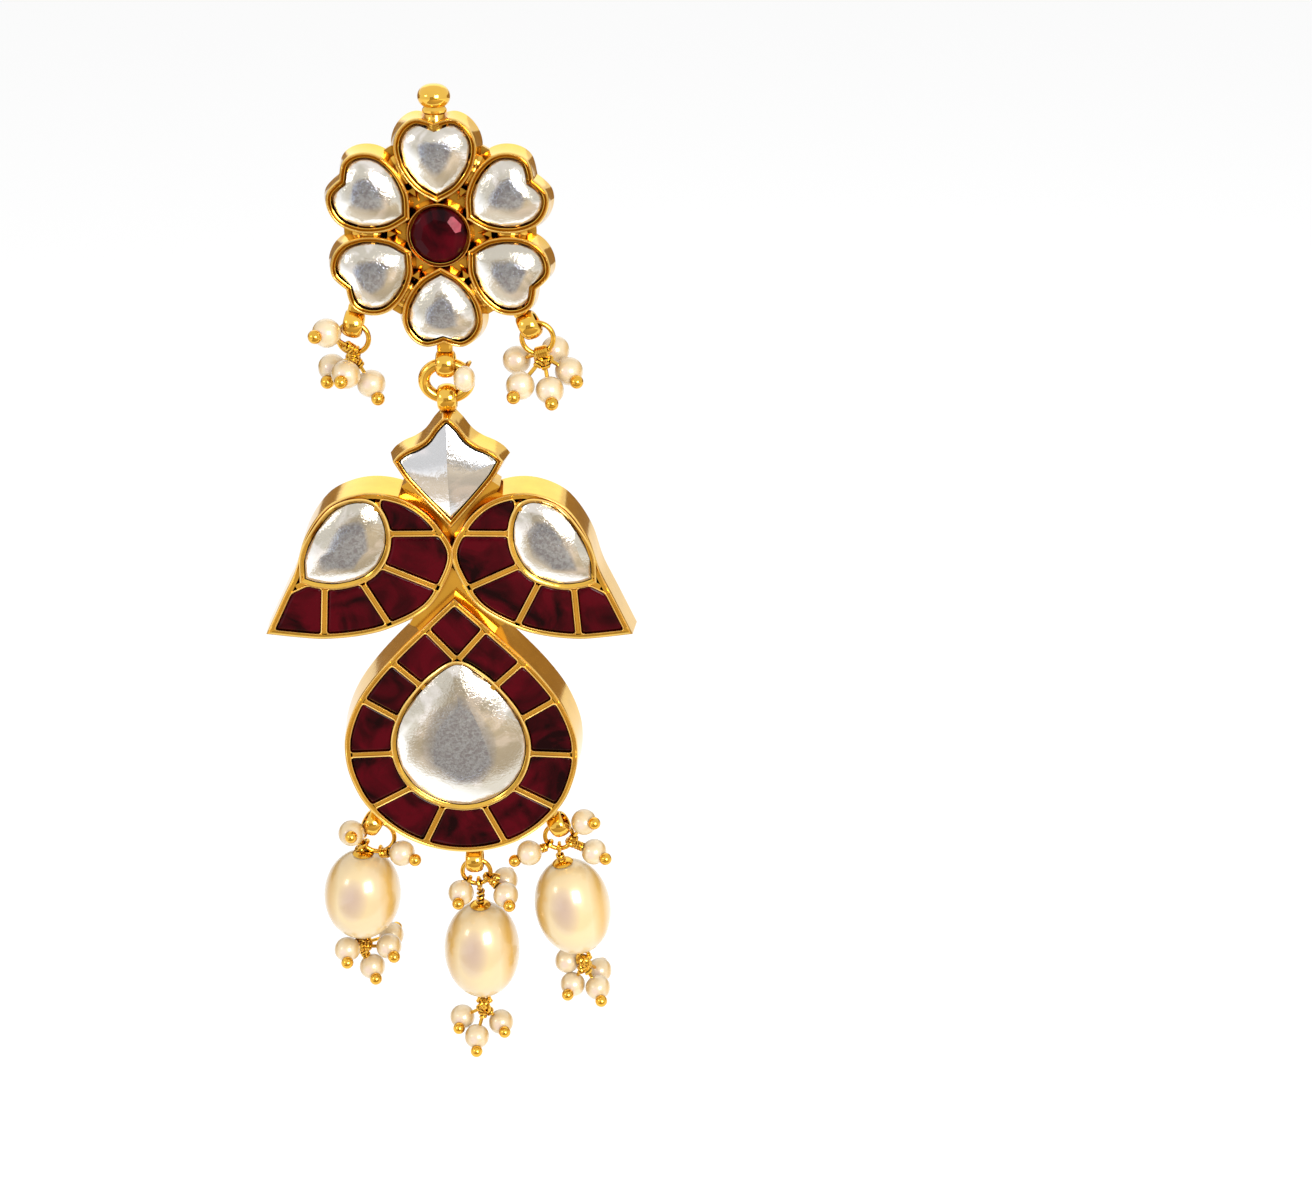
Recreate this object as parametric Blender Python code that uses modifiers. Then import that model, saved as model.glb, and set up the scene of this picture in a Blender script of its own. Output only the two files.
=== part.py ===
"""A kundan drop earring: a flower stud, an oval link, and a pendant with pearls.

Everything is in metres, with +Z up. The front faces -Y. The origin is where the ear post leaves
the back of the flower, so the flower lies from the plane y = 0 forwards.
"""

import math

import bmesh
import bpy
from mathutils import Matrix, Vector
from mathutils.geometry import interpolate_bezier, intersect_line_line_2d

OBJECT_NAME = "kundan_earring"

# The flower
FLOWER_THICKNESS = 0.0023
HEART_TIP_RADIUS = 0.0032
HEART_LENGTH = 0.0074
HEART_WIDTH = 0.0073
HEART_RIM = 0.0005
HEART_POCKET = 0.0013
FLOWER_BEZEL_RADIUS = 0.0030
FLOWER_BEZEL_WALL = 0.0004
FLOWER_BACK_RADIUS = 0.0090
FLOWER_BACK_THICKNESS = 0.0006
FLOWER_WEB_RADIUS = 0.0088
FLOWER_WEB_BORE = 0.0058
FLOWER_WEB_WIDTH = 0.0034
FLOWER_WEB_LEVEL = 0.0012
FLOWER_LAP = 0.0002
PETALS = 6

# The post and the bead on top
POST_RADIUS = 0.00045
POST_LENGTH = 0.0100
TOP_BEAD_RADIUS = 0.00142
TOP_BEAD_HEIGHT = 0.0020
TOP_BEAD_LIFT = 0.4
TOP_NECK_RADIUS = 0.0010
TOP_NECK_HEIGHT = 0.0017
TOP_NECK_FOOT = 0.96
TOP_NECK_SUNK = 0.6

# The pendant's metal
PENDANT_THICKNESS = 0.0042
PENDANT_RIM = 0.0006
PENDANT_WEB_LEVEL = 0.0028
STONE_POCKET = 0.0026
INLAY_POCKET = 0.0012
BAR_WIDTH = 0.0006
CUP_WALL = 0.0005
CUP_FLARE = 0.0005

# The kite, the wings and the teardrop
KITE_WIDTH = 0.01074
KITE_HEIGHT = 0.01145
KITE_THICKNESS = 0.0027
KITE_POCKET = 0.0018
WING_DROP = 0.00772
WING_HEIGHT = 0.0158
WING_REACH_LEFT = 0.0191
WING_REACH_RIGHT = 0.0178
WING_REST_SHARE = 0.71
TEARDROP_HEIGHT = 0.02954
TEARDROP_WIDTH = 0.0241
CUP_DROP_SHARE = 0.24
CUP_HEIGHT_SHARE = 0.582
CUP_WIDTH_SHARE = 0.589
KITE_MIDDLE_SHARE = 0.42
CUP_MIDDLE_SHARE = 0.54
CELL_MARGIN = 0.03

# The stones
FIT = 0.0001
GIRDLE_DEPTH = 0.0004
TABLE_RISE = 0.0003
TABLE_SHARE = 0.55
CENTRE_TABLE_SHARE = 0.45
INLAY_SINK = 0.0003
INLAY_CROWN = 0.0002
INLAY_SHARE = 0.8

# The bails, the link and the jump rings
BAIL_WIDTH = 0.0016
BAIL_HOLE = 0.00082
BAIL_WALL = 0.00038
BAIL_NECK_DEPTH = 0.0013
BAIL_NECK_SHARE = 0.96
BAIL_SINK = 1.5
STUD_BAIL_REACH = 0.0021
KITE_BAIL_REACH = 0.00135
LINK_WIDTH = 0.0055
LINK_HEIGHT = 0.0046
LINK_WIRE = 0.00115
JUMP_WIRE = 0.0005

# The pearls and their pins
PEARL_BORE = 0.0007
PIN_WIRE = 0.0004
PIN_HEAD_RADIUS = 0.0007
SMALL_PEARL_RADIUS = 0.00142
KNOT_RADIUS = 0.0005
KNOT_WIRE = 0.00034
EYE_RADIUS = 0.0006
EYE_WIRE = 0.0004
CAP_RADIUS = 0.0011
CAP_TOP_SHARE = 0.5
CAP_HEIGHT = 0.0003
CAP_GAP = 0.0001
RING_PEARL_WIDTH = 0.0021
RING_PEARL_HEIGHT = 0.0025

# How finely outlines and round shapes are meshed
OUTLINE_STEPS = 2
HEART_STEPS = 1
SLIGHT_BEND = math.radians(4.5)
SHARP_EDGE = math.radians(35)
MITRE_LIMIT = 0.25
SAME_PLACE = 0.000001
FILL_SCALE = 1000
DISC_SIDES = 18
ROUND_SIDES = 12
RING_SIDES = 12
KNOT_SIDES = 8
BAIL_SIDES = 10
HEAD_SIDES = 6
PEARL_SIDES = 10
PEARL_ROWS = 8
PIN_SIDES = 5

HANG_Y = -FLOWER_THICKNESS / 2
FLOWER_FRONT = -FLOWER_THICKNESS
PENDANT_FRONT = HANG_Y - PENDANT_THICKNESS / 2
PENDANT_BACK = HANG_Y + PENDANT_THICKNESS / 2
PETAL_REACH = HEART_TIP_RADIUS + HEART_LENGTH
LINK_DROP = (LINK_HEIGHT - LINK_WIRE) / 2
STUD_BAIL_Z = -PETAL_REACH - STUD_BAIL_REACH
LINK_Z = STUD_BAIL_Z - LINK_DROP
DROP_BAIL_Z = LINK_Z - LINK_DROP
KITE_TOP = DROP_BAIL_Z - KITE_BAIL_REACH
WING_TOP = KITE_TOP - WING_DROP
TEARDROP_TOP = WING_TOP - WING_HEIGHT * WING_REST_SHARE
TEARDROP_BOTTOM = TEARDROP_TOP - TEARDROP_HEIGHT
CUP_TOP = TEARDROP_TOP - TEARDROP_HEIGHT * CUP_DROP_SHARE
CUP_HEIGHT = TEARDROP_HEIGHT * CUP_HEIGHT_SHARE
CUP_WIDTH = TEARDROP_WIDTH * CUP_WIDTH_SHARE

# Outlines: across and down are shares of the half width and the height, from the top middle
# (for a heart, from its tip). A corner stays sharp.
HEART = (
    # across, along, corner
    (0.00, 0.00, True),
    (0.45, 0.125, False),
    (0.69, 0.25, False),
    (0.84, 0.365, False),
    (0.935, 0.473, False),
    (1.00, 0.64, False),
    (0.96, 0.77, False),
    (0.83, 0.885, False),
    (0.65, 0.965, False),
    (0.45, 1.00, False),
    (0.25, 0.985, False),
    (0.00, 0.94, True),
)
KITE = (
    # across, down, corner
    (0.00, 0.00, False),
    (0.20, 0.07, False),
    (0.39, 0.187, False),
    (0.70, 0.275, False),
    (1.00, 0.392, True),
    (0.77, 0.57, False),
    (0.00, 1.00, True),
)
WING = (
    # across, down, corner; across is a share of the reach from the middle of the earring
    (0.402, 0.000, False),
    (0.533, 0.029, False),
    (0.649, 0.111, False),
    (0.758, 0.302, False),
    (0.821, 0.525, False),
    (0.894, 0.704, False),
    (1.000, 0.965, True),
    (0.821, 0.990, False),
    (0.690, 1.000, False),
    (0.505, 0.978, False),
    (0.350, 0.927, False),
    (0.147, 0.793, False),
    (0.046, 0.615, False),
    (-0.008, 0.407, False),
    (0.065, 0.220, False),
    (0.160, 0.097, False),
    (0.266, 0.029, False),
)
ALMOND = (
    # across, down, corner, as shares of the wing
    (0.796, 0.602, True),
    (0.783, 0.411, False),
    (0.701, 0.226, False),
    (0.598, 0.090, False),
    (0.465, 0.040, False),
    (0.372, 0.083, False),
    (0.318, 0.258, False),
    (0.342, 0.436, False),
    (0.433, 0.576, False),
    (0.595, 0.643, False),
    (0.717, 0.634, False),
)
ALMOND_MIDDLE = (0.555, 0.36)
WING_BARS = (
    # inner across, inner down, outer across, outer down, as shares of the wing
    (0.375, 0.108, 0.367, 0.044),
    (0.318, 0.272, 0.059, 0.269),
    (0.346, 0.503, 0.060, 0.655),
    (0.462, 0.639, 0.333, 0.930),
    (0.674, 0.671, 0.696, 0.990),
    (0.783, 0.620, 0.837, 0.652),
)
TEARDROP = (
    # across, down, corner
    (0.000, 0.000, True),
    (0.256, 0.104, False),
    (0.529, 0.217, False),
    (0.735, 0.316, False),
    (0.884, 0.411, False),
    (0.983, 0.522, False),
    (1.000, 0.609, False),
    (0.971, 0.690, False),
    (0.876, 0.791, False),
    (0.702, 0.882, False),
    (0.500, 0.946, False),
    (0.260, 0.986, False),
    (0.000, 1.000, False),
)
CUP = (
    # across, down, corner
    (0.00, 0.000, False),
    (0.34, 0.076, False),
    (0.62, 0.196, False),
    (0.86, 0.345, False),
    (1.00, 0.533, False),
    (0.945, 0.715, False),
    (0.73, 0.868, False),
    (0.39, 0.965, False),
    (0.00, 1.000, False),
)
TEARDROP_BARS = (
    # inner across, inner down, outer across, outer down, as shares of the teardrop
    (0.025, 0.225, 0.247, 0.118),
    (0.299, 0.340, 0.555, 0.240),
    (0.531, 0.461, 0.830, 0.385),
    (0.604, 0.598, 0.963, 0.605),
    (0.481, 0.744, 0.801, 0.817),
    (0.199, 0.829, 0.353, 0.964),
)
KITE_WEB = (
    # across, down, as shares of the kite
    (0.00, 0.25),
    (0.98, 0.64),
    (0.00, 1.45),
    (-0.98, 0.64),
)
TEARDROP_WEB = (
    # across, down, as shares of the teardrop
    (0.00, -0.15),
    (0.47, 0.14),
    (0.00, 0.20),
    (-0.47, 0.14),
)

# The side bails of the stud and the bottom bails of the drop, with what hangs from each.
# ring_turn leads from the bail's hole to the jump ring's middle, hook_turn from there to the
# eye pin, both from straight down; reach is from the hook to the pearl's middle. The holes of the
# pendant's bails are across by a share of the teardrop's half width.
SIDE_BAILS = (
    # name, hole x, hole z, turn, ring turn, neck, ring radius
    ("left", -0.0086, -0.00875, -12, -4, 0.0023, 0.00145),
    ("right", 0.0081, -0.0089, 30, 30, 0.0024, 0.0015),
)
PENDANTS = (
    # name, hole across, hole below the teardrop, neck, ring radius, ring turn, hook turn, reach, lean, length
    ("left", -0.8257, -0.0024, 0.0026, 0.0018, 12, -60, 0.00625, -4, 0.0101),
    ("centre", 0.0581, 0.0022, 0.0026, 0.0015, 5, 10, 0.00848, 0, 0.0113),
    ("right", 0.8133, -0.0022, 0.0026, 0.0015, 0, 0, 0.00741, 10, 0.0111),
)
BIG_PEARL_WIDTH = 0.0083

# Small pearls, by the place that they hang from: on a ring at a turn from straight down, or
# on the foot eye of a pearl. Offsets are from the hook to the pearl's middle in millimetres;
# the head's swing is from straight down to the right and its lean towards the front.
CLUSTERS = (
    # name, hangs from, turn, rows of (right, back, up, head swing, head lean)
    ("side_pearls_left", "side left", 0, (
        (-2.2, -1.9, 2.5, -96, 60),
        (-2.5, 1.9, -2.1, -20, 52),
        (-0.7, -1.5, -1.7, -52, 80),
        (1.4, 0.3, -3.2, 32, 40),
    )),
    ("side_pearls_right", "side right", 15, (
        (-2.1, -1.2, -2.9, -40, 60),
        (0.7, -0.8, -3.5, 16, 60),
        (2.5, 1.1, -2.2, 52, 56),
        (-2.6, 2.4, -1.5, -60, -78),
        (1.1, 3.5, -0.8, 60, -78),
    )),
    ("top_pearl_left_1", "pendant left", -98, (
        (-0.7, -1.5, 1.1, 156, 72),
    )),
    ("top_pearl_left_2", "pendant left", 10, (
        (2.4, -1.3, 0.5, 80, 32),
    )),
    ("top_pearl_centre_1", "pendant centre", -40, (
        (-0.7, -1.0, -0.9, -28, 80),
    )),
    ("top_pearls_centre_2", "pendant centre", 60, (
        (1.9, -1.5, -1.3, 60, 72),
        (1.6, 1.7, -1.4, 50, -78),
    )),
    ("top_pearl_right_1", "pendant right", -50, (
        (-2.0, -1.0, -0.5, -68, 20),
    )),
    ("top_pearls_right_2", "pendant right", 60, (
        (1.4, -0.5, 2.8, 116, 44),
        (2.4, 0.0, -1.2, 84, 44),
    )),
    ("foot_pearls_left", "foot left", 0, (
        (-1.5, -1.1, 0.2, 16, 68),
        (1.0, -0.4, -2.5, 44, 64),
        (3.0, -0.7, 0.3, 68, 64),
        (2.8, 2.7, -0.5, 60, -78),
    )),
    ("foot_pearls_centre", "foot centre", 0, (
        (-2.6, 0.9, -2.4, -40, 76),
        (-0.9, -1.1, -3.6, 4, 60),
        (1.7, 0.5, -2.8, 72, 72),
    )),
    ("foot_pearls_right", "foot right", 0, (
        (-1.3, 0.1, -3.2, -64, 72),
        (1.5, -0.7, -3.1, 32, 64),
        (-1.9, 1.3, -0.9, -60, -78),
        (1.6, 2.9, -3.3, 40, -78),
    )),
)
OFFSET_UNIT = 0.001
HEAD_STEP = 0.55
RING_PEARL_PLACE = (0.00195, -0.0022, 0.0009)
RING_PEARL_TURN = 50

FINISHES = {
    # name: (red, green, blue), roughness, metallic
    "gold": ((0.83, 0.55, 0.17), 0.22, 1.0),
    "antique_gold": ((0.50, 0.29, 0.08), 0.30, 1.0),
    "clear_stone": ((0.72, 0.72, 0.74), 0.08, 0.0),
    "red_stone": ((0.16, 0.004, 0.012), 0.06, 0.0),
    "pearl": ((0.84, 0.72, 0.54), 0.25, 0.0),
}


def clear_scene():
    for obj in list(bpy.data.objects):
        bpy.data.objects.remove(obj, do_unlink=True)


def new_collection(name, hidden=False):
    collection = bpy.data.collections.new(name)
    bpy.context.scene.collection.children.link(collection)
    collection.hide_render = hidden
    return collection


def make_finish(name):
    colour, roughness, metallic = FINISHES[name]
    material = bpy.data.materials.new(name)
    material.use_nodes = True
    shader = material.node_tree.nodes["Principled BSDF"]
    shader.inputs["Base Color"].default_value = (*colour, 1.0)
    shader.inputs["Roughness"].default_value = roughness
    shader.inputs["Metallic"].default_value = metallic
    return material


def smooth_outline(rows, steps=OUTLINE_STEPS):
    """A closed outline through rows of (x, z, corner): smooth spans that meet at sharp corners."""
    points = [Vector((x, z)) for x, z, _ in rows]
    count = len(rows)
    outline = []
    for i, (_, _, leaves_sharply) in enumerate(rows):
        j = (i + 1) % count
        before, start, end, after = points[i - 1], points[i], points[j], points[(j + 1) % count]
        chord = end - start
        leaving = chord if leaves_sharply else end - before
        arriving = chord if rows[j][2] else after - start
        if max(leaving.angle(chord), arriving.angle(chord)) < SLIGHT_BEND:
            outline.append(start)
            continue
        handle = chord.length / 3
        outline += interpolate_bezier(
            start,
            start + leaving.normalized() * handle,
            end - arriving.normalized() * handle,
            end,
            steps + 1,
        )[:-1]
    return [Vector(point[:2]) for point in outline]


def both_sides(half):
    """The whole outline of a shape given down its right side, from its top to its bottom."""
    left = [(-x, z, corner) for x, z, corner in reversed(half) if x > 0]
    return list(half) + left


def placed(table, half_width, top, height):
    """A table's rows of shares as places in metres."""
    return [(across * half_width, top - down * height, corner) for across, down, corner in table]


def turn_sign(outline):
    """1 for an outline that runs anticlockwise, and -1 for one that runs clockwise."""
    area = sum(a.cross(b) for a, b in zip(outline, outline[1:] + outline[:1]))
    return math.copysign(1, area)


def inset(outline, distance):
    """The outline moved inwards by a distance, or outwards by a negative one."""
    sign = turn_sign(outline)
    moved = []
    for i, point in enumerate(outline):
        back = (point - outline[i - 1]).normalized()
        ahead = (outline[(i + 1) % len(outline)] - point).normalized()
        normals = [Vector((-side.y, side.x)) * sign for side in (back, ahead)]
        middle = normals[0] + normals[1]
        share = max(1 + normals[0].dot(normals[1]), MITRE_LIMIT)
        moved.append(point + middle * (distance / share))
    return moved


def hit(outline, start, direction):
    """Where a line from start first meets the outline."""
    nearest = math.inf
    for a, b in zip(outline, outline[1:] + outline[:1]):
        edge = b - a
        slope = direction.cross(edge)
        if slope == 0:
            continue
        along = (a - start).cross(edge) / slope
        share = (a - start).cross(direction) / slope
        if 0 <= share <= 1 and 0 < along < nearest:
            nearest = along
    return start + direction * nearest


def stretch(outline, middle, start, end, spin):
    """The outline's points from start to end round a middle, with spin 1 clockwise or -1."""
    def turn(point):
        return math.atan2(point.x - middle.x, point.y - middle.y) * spin

    first = turn(start)
    sweep = (turn(end) - first) % math.tau
    margin = CELL_MARGIN * sweep
    found = [((turn(point) - first) % math.tau, i) for i, point in enumerate(outline)]
    between = [outline[i] for angle, i in sorted(found) if margin < angle < sweep - margin]
    return [start] + between + [end]


def cell(frame, cup, middle, bars, half_bar, spin):
    """One cell of a border: between two bars, inside the frame's edge and outside the cup's."""
    ends = []
    for (inner, outer), side in zip(bars, (spin, -spin)):
        along = (outer - inner).normalized()
        start = (inner + outer) / 2 + Vector((along.y, -along.x)) * half_bar * side
        ends.append((hit(cup, start, -along), hit(frame, start, along)))
    (first_in, first_out), (last_in, last_out) = ends
    around = stretch(frame, middle, first_out, last_out, spin)
    crossing = intersect_line_line_2d(first_in, first_out, last_in, last_out)
    if crossing:
        return around + [crossing]
    return around + stretch(cup, middle, first_in, last_in, spin)[::-1]


def as_mesh(obj, name):
    """The object's evaluated shape as a plain mesh object in world axes, and the object gone."""
    bpy.context.scene.collection.objects.link(obj)
    graph = bpy.context.evaluated_depsgraph_get()
    mesh = bpy.data.meshes.new_from_object(obj.evaluated_get(graph))
    mesh.transform(obj.matrix_world)
    bpy.data.objects.remove(obj, do_unlink=True)
    edit = bmesh.new()
    edit.from_mesh(mesh)
    bmesh.ops.remove_doubles(edit, verts=edit.verts, dist=SAME_PLACE)
    bmesh.ops.recalc_face_normals(edit, faces=edit.faces)
    edit.to_mesh(mesh)
    edit.free()
    mesh.name = name
    return bpy.data.objects.new(name, mesh)


def plate(name, outline, front, back):
    """A flat piece with this outline across the front, between two depths along Y."""
    curve = bpy.data.curves.new(name, "CURVE")
    curve.dimensions = "2D"
    curve.fill_mode = "BOTH"
    curve.extrude = (back - front) / 2 * FILL_SCALE
    spline = curve.splines.new("POLY")
    spline.points.add(len(outline) - 1)
    for point, place in zip(spline.points, outline):
        point.co = (place.x * FILL_SCALE, place.y * FILL_SCALE, 0, 1)
    spline.use_cyclic_u = True
    obj = bpy.data.objects.new(name, curve)
    upright = Matrix.Rotation(math.pi / 2, 4, "X") @ Matrix.Scale(1 / FILL_SCALE, 4)
    obj.matrix_world = Matrix.Translation((0, (front + back) / 2, 0)) @ upright
    return as_mesh(obj, name)


def flared_cup(name, outline, front, back, middle):
    """A plate whose back is wider than its front by the flare of a cast cup."""
    cup = plate(name, outline, front, back)
    radius = sum((point - middle).length for point in outline) / len(outline)
    share = 1 + CUP_FLARE / radius
    for vertex in cup.data.vertices:
        if vertex.co.y > (front + back) / 2:
            vertex.co.x = middle.x + (vertex.co.x - middle.x) * share
            vertex.co.z = middle.y + (vertex.co.z - middle.y) * share
    return cup


def cut_stone(name, outline, front, girdle, back, middle, share):
    """A stone with a straight lower part, a crown of sloping facets and a flat table."""
    stone = plate(name, outline, girdle, back)
    edit = bmesh.new()
    edit.from_mesh(stone.data)
    faces = [face for face in edit.faces if all(abs(v.co.y - girdle) < SAME_PLACE for v in face.verts)]
    raised = bmesh.ops.extrude_face_region(edit, geom=faces)["geom"]
    bmesh.ops.delete(edit, geom=faces, context="FACES_ONLY")
    for vertex in (item for item in raised if isinstance(item, bmesh.types.BMVert)):
        vertex.co.x = middle.x + (vertex.co.x - middle.x) * share
        vertex.co.z = middle.y + (vertex.co.z - middle.y) * share
        vertex.co.y = front
    bmesh.ops.recalc_face_normals(edit, faces=edit.faces)
    edit.to_mesh(stone.data)
    edit.free()
    return stone


def primitive(name, make, place, **sizes):
    """One of bmesh's round or square primitives, with a matrix for its place."""
    mesh = bpy.data.meshes.new(name)
    edit = bmesh.new()
    make(edit, matrix=place, **sizes)
    edit.to_mesh(mesh)
    edit.free()
    return bpy.data.objects.new(name, mesh)


def facing(direction):
    """A rotation that turns +Z to a direction."""
    return direction.to_track_quat("Z", "Y").to_matrix().to_4x4()


def cylinder(name, middle, axis, radius, length, sides=ROUND_SIDES, top_radius=None):
    """A cylinder, or a cone frustum that ends in top_radius at the axis's far end."""
    return primitive(
        name, bmesh.ops.create_cone, Matrix.Translation(middle) @ facing(axis),
        cap_ends=True, segments=sides, radius1=radius,
        radius2=radius if top_radius is None else top_radius, depth=length,
    )


def ball(name, middle, axis, radius, half_length, sides=PEARL_SIDES):
    """A round or oval ball with its poles on an axis."""
    stretch_along = Matrix.Diagonal((radius, radius, half_length, 1))
    return primitive(
        name, bmesh.ops.create_uvsphere, Matrix.Translation(middle) @ facing(axis) @ stretch_along,
        u_segments=sides, v_segments=max(sides // 2, 4), radius=1,
    )


def pin(name, start, end, thickness):
    """A straight round wire between two places."""
    run = end - start
    return cylinder(name, (start + end) / 2, run, thickness / 2, run.length, PIN_SIDES)


def block(name, middle, direction, width, depth, length):
    """A box whose length runs along a direction in the front plane, and its depth along Y."""
    across = Vector((direction.z, 0, -direction.x))
    turn = Matrix((across, Vector((0, 1, 0)), direction)).transposed().to_4x4()
    sizes = Matrix.Diagonal((width, depth, length, 1))
    return primitive(
        name, bmesh.ops.create_cube, Matrix.Translation(middle) @ turn @ sizes, size=1,
    )


def ring(name, middle, radius, thickness, across=Vector((1, 0, 0)), up=Vector((0, 0, 1)),
         height_radius=None, sides=RING_SIDES):
    """A closed ring of round wire, in the plane of two directions, oval if a height is given."""
    tall = height_radius or radius
    turns = [math.tau * i / sides for i in range(sides)]
    curve = bpy.data.curves.new(name, "CURVE")
    curve.dimensions = "3D"
    curve.bevel_depth = thickness / 2
    curve.bevel_resolution = 1
    spline = curve.splines.new("POLY")
    spline.points.add(sides - 1)
    for point, t in zip(spline.points, turns):
        point.co = (*(middle + across * radius * math.sin(t) + up * tall * math.cos(t)), 1)
    spline.use_cyclic_u = True
    return as_mesh(bpy.data.objects.new(name, curve), name)


def keep(obj, material):
    obj.data.materials.append(material)
    obj.data.shade_smooth()
    obj.data.set_sharp_from_angle(angle=SHARP_EDGE)
    FINISHED.append(obj)
    return obj


def soldered(name, material, pieces, cutters=()):
    """The pieces joined into one solid, with the cutters taken out of it."""
    body = pieces[0]
    body.name = name
    for label, operation, others in (("join", "UNION", pieces[1:]), ("cut", "DIFFERENCE", cutters)):
        if not others:
            continue
        group = new_collection(f"{name}_{label}", hidden=True)
        HELPERS.children.link(group)
        bpy.context.scene.collection.children.unlink(group)
        for other in others:
            group.objects.link(other)
            other.hide_render = True
            other.display_type = "WIRE"
        modifier = body.modifiers.new(label, "BOOLEAN")
        modifier.operation = operation
        modifier.operand_type = "COLLECTION"
        modifier.collection = group
        modifier.solver = "EXACT"
    return keep(body, material)


def down_turned(degrees):
    """The direction that is a turn from straight down, in the front plane, to the right."""
    angle = math.radians(degrees)
    return Vector((math.sin(angle), 0, -math.cos(angle)))


def bail(name, hole, direction, neck):
    """(pieces, cutter) of a strap loop: its hole runs across the strap, its neck leads back."""
    across = Vector((direction.z, 0, -direction.x))
    outer = BAIL_HOLE + BAIL_WALL
    band = cylinder(f"{name}_band", hole, across, outer, BAIL_WIDTH, BAIL_SIDES)
    neck_start = BAIL_HOLE + BAIL_WALL / 2
    stem_middle = hole - direction * (neck_start + neck) / 2
    stem = block(f"{name}_neck", stem_middle, direction, BAIL_WIDTH * BAIL_NECK_SHARE, BAIL_NECK_DEPTH,
                 neck - neck_start)
    bore = cylinder(f"{name}_bore", hole, across, BAIL_HOLE, BAIL_WIDTH * 2, BAIL_SIDES)
    return [band, stem], bore


def heart_outline(turn):
    """One petal's outline, its tip towards the middle of the flower, turned clockwise from up."""
    rows = [(x * HEART_WIDTH / 2, HEART_TIP_RADIUS + along * HEART_LENGTH, corner)
            for x, along, corner in HEART]
    angle = math.radians(turn)
    outline = smooth_outline(both_sides(rows), HEART_STEPS)
    return [Vector((p.x * math.cos(angle) + p.y * math.sin(angle),
                    p.y * math.cos(angle) - p.x * math.sin(angle))) for p in outline]


def circle(radius, sides):
    turns = [math.tau * i / sides for i in range(sides)]
    return [Vector((radius * math.sin(t), radius * math.cos(t))) for t in turns]


def build_stud():
    """The flower, its post, its stones, and the bails with their jump rings."""
    gold = MATERIALS["gold"]
    nothing = Vector((0, 0))
    pieces = [plate("flower_back", circle(FLOWER_BACK_RADIUS, DISC_SIDES), -FLOWER_BACK_THICKNESS, 0)]
    lap = FLOWER_LAP - FLOWER_BACK_THICKNESS
    web_middle = (FLOWER_WEB_RADIUS + FLOWER_WEB_BORE) / 2
    for i in range(PETALS):
        between = Vector((0, 0, 1))
        between.rotate(Matrix.Rotation(math.radians((i + 0.5) * 360 / PETALS), 3, "Y"))
        place = between * web_middle - Vector((0, (FLOWER_WEB_LEVEL - lap) / 2, 0))
        pieces.append(block(f"flower_web_{i + 1}", place, between, FLOWER_WEB_WIDTH,
                            FLOWER_WEB_LEVEL + lap, FLOWER_WEB_RADIUS - FLOWER_WEB_BORE))
    pieces.append(plate("flower_bezel", circle(FLOWER_BEZEL_RADIUS, DISC_SIDES), FLOWER_FRONT, lap))
    cutters = []
    girdle = FLOWER_FRONT + GIRDLE_DEPTH
    floor = FLOWER_FRONT + HEART_POCKET
    table = FLOWER_FRONT - TABLE_RISE
    for i in range(PETALS):
        outline = heart_outline(i * 360 / PETALS)
        middle = sum(outline, nothing) / len(outline)
        pieces.append(flared_cup(f"petal_cup_{i + 1}", outline, FLOWER_FRONT, -FLOWER_LAP, middle))
        cutters.append(plate(f"petal_pocket_{i + 1}", inset(outline, HEART_RIM), FLOWER_FRONT * 2, floor))
        stone = cut_stone(f"petal_stone_{i + 1}", inset(outline, HEART_RIM + FIT), table, girdle,
                          floor - FIT, middle, TABLE_SHARE)
        keep(stone, MATERIALS["clear_stone"])
    pocket = FLOWER_BEZEL_RADIUS - FLOWER_BEZEL_WALL
    cutters.append(plate("centre_pocket", circle(pocket, DISC_SIDES), FLOWER_FRONT * 2, floor))
    centre = cut_stone("centre_stone", circle(pocket - FIT, DISC_SIDES), table, girdle,
                       floor - FIT, nothing, CENTRE_TABLE_SHARE)
    keep(centre, MATERIALS["red_stone"])

    up = Vector((0, 0, 1))
    neck_top = PETAL_REACH * TOP_NECK_FOOT + TOP_NECK_HEIGHT
    neck_length = TOP_NECK_HEIGHT * (1 + TOP_NECK_SUNK)
    pieces.append(cylinder("top_neck", Vector((0, HANG_Y, neck_top - neck_length / 2)), up,
                           TOP_NECK_RADIUS, neck_length))
    pieces.append(ball("top_bead", Vector((0, HANG_Y, neck_top + TOP_BEAD_HEIGHT * TOP_BEAD_LIFT)), up,
                       TOP_BEAD_RADIUS, TOP_BEAD_HEIGHT / 2, ROUND_SIDES))

    bottom, bore = bail("stud_bail", Vector((0, HANG_Y, STUD_BAIL_Z)), down_turned(0),
                        STUD_BAIL_REACH * BAIL_SINK)
    pieces += bottom
    cutters.append(bore)
    for name, x, z, turn, ring_turn, neck, radius in SIDE_BAILS:
        hole = Vector((x, HANG_Y, z))
        loop, bore = bail(f"side_bail_{name}", hole, down_turned(turn), neck)
        pieces += loop
        cutters.append(bore)
        middle = hole + down_turned(ring_turn) * radius
        keep(ring(f"jump_ring_upper_{name}", middle, radius, JUMP_WIRE), MATERIALS["antique_gold"])
        RINGS[f"side {name}"] = (middle, radius)
    soldered("flower_setting", gold, pieces, cutters)

    post = cylinder("ear_post", Vector((0, FIT + POST_LENGTH / 2, 0)), Vector((0, 1, 0)), POST_RADIUS,
                    POST_LENGTH)
    keep(post, gold)


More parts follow.
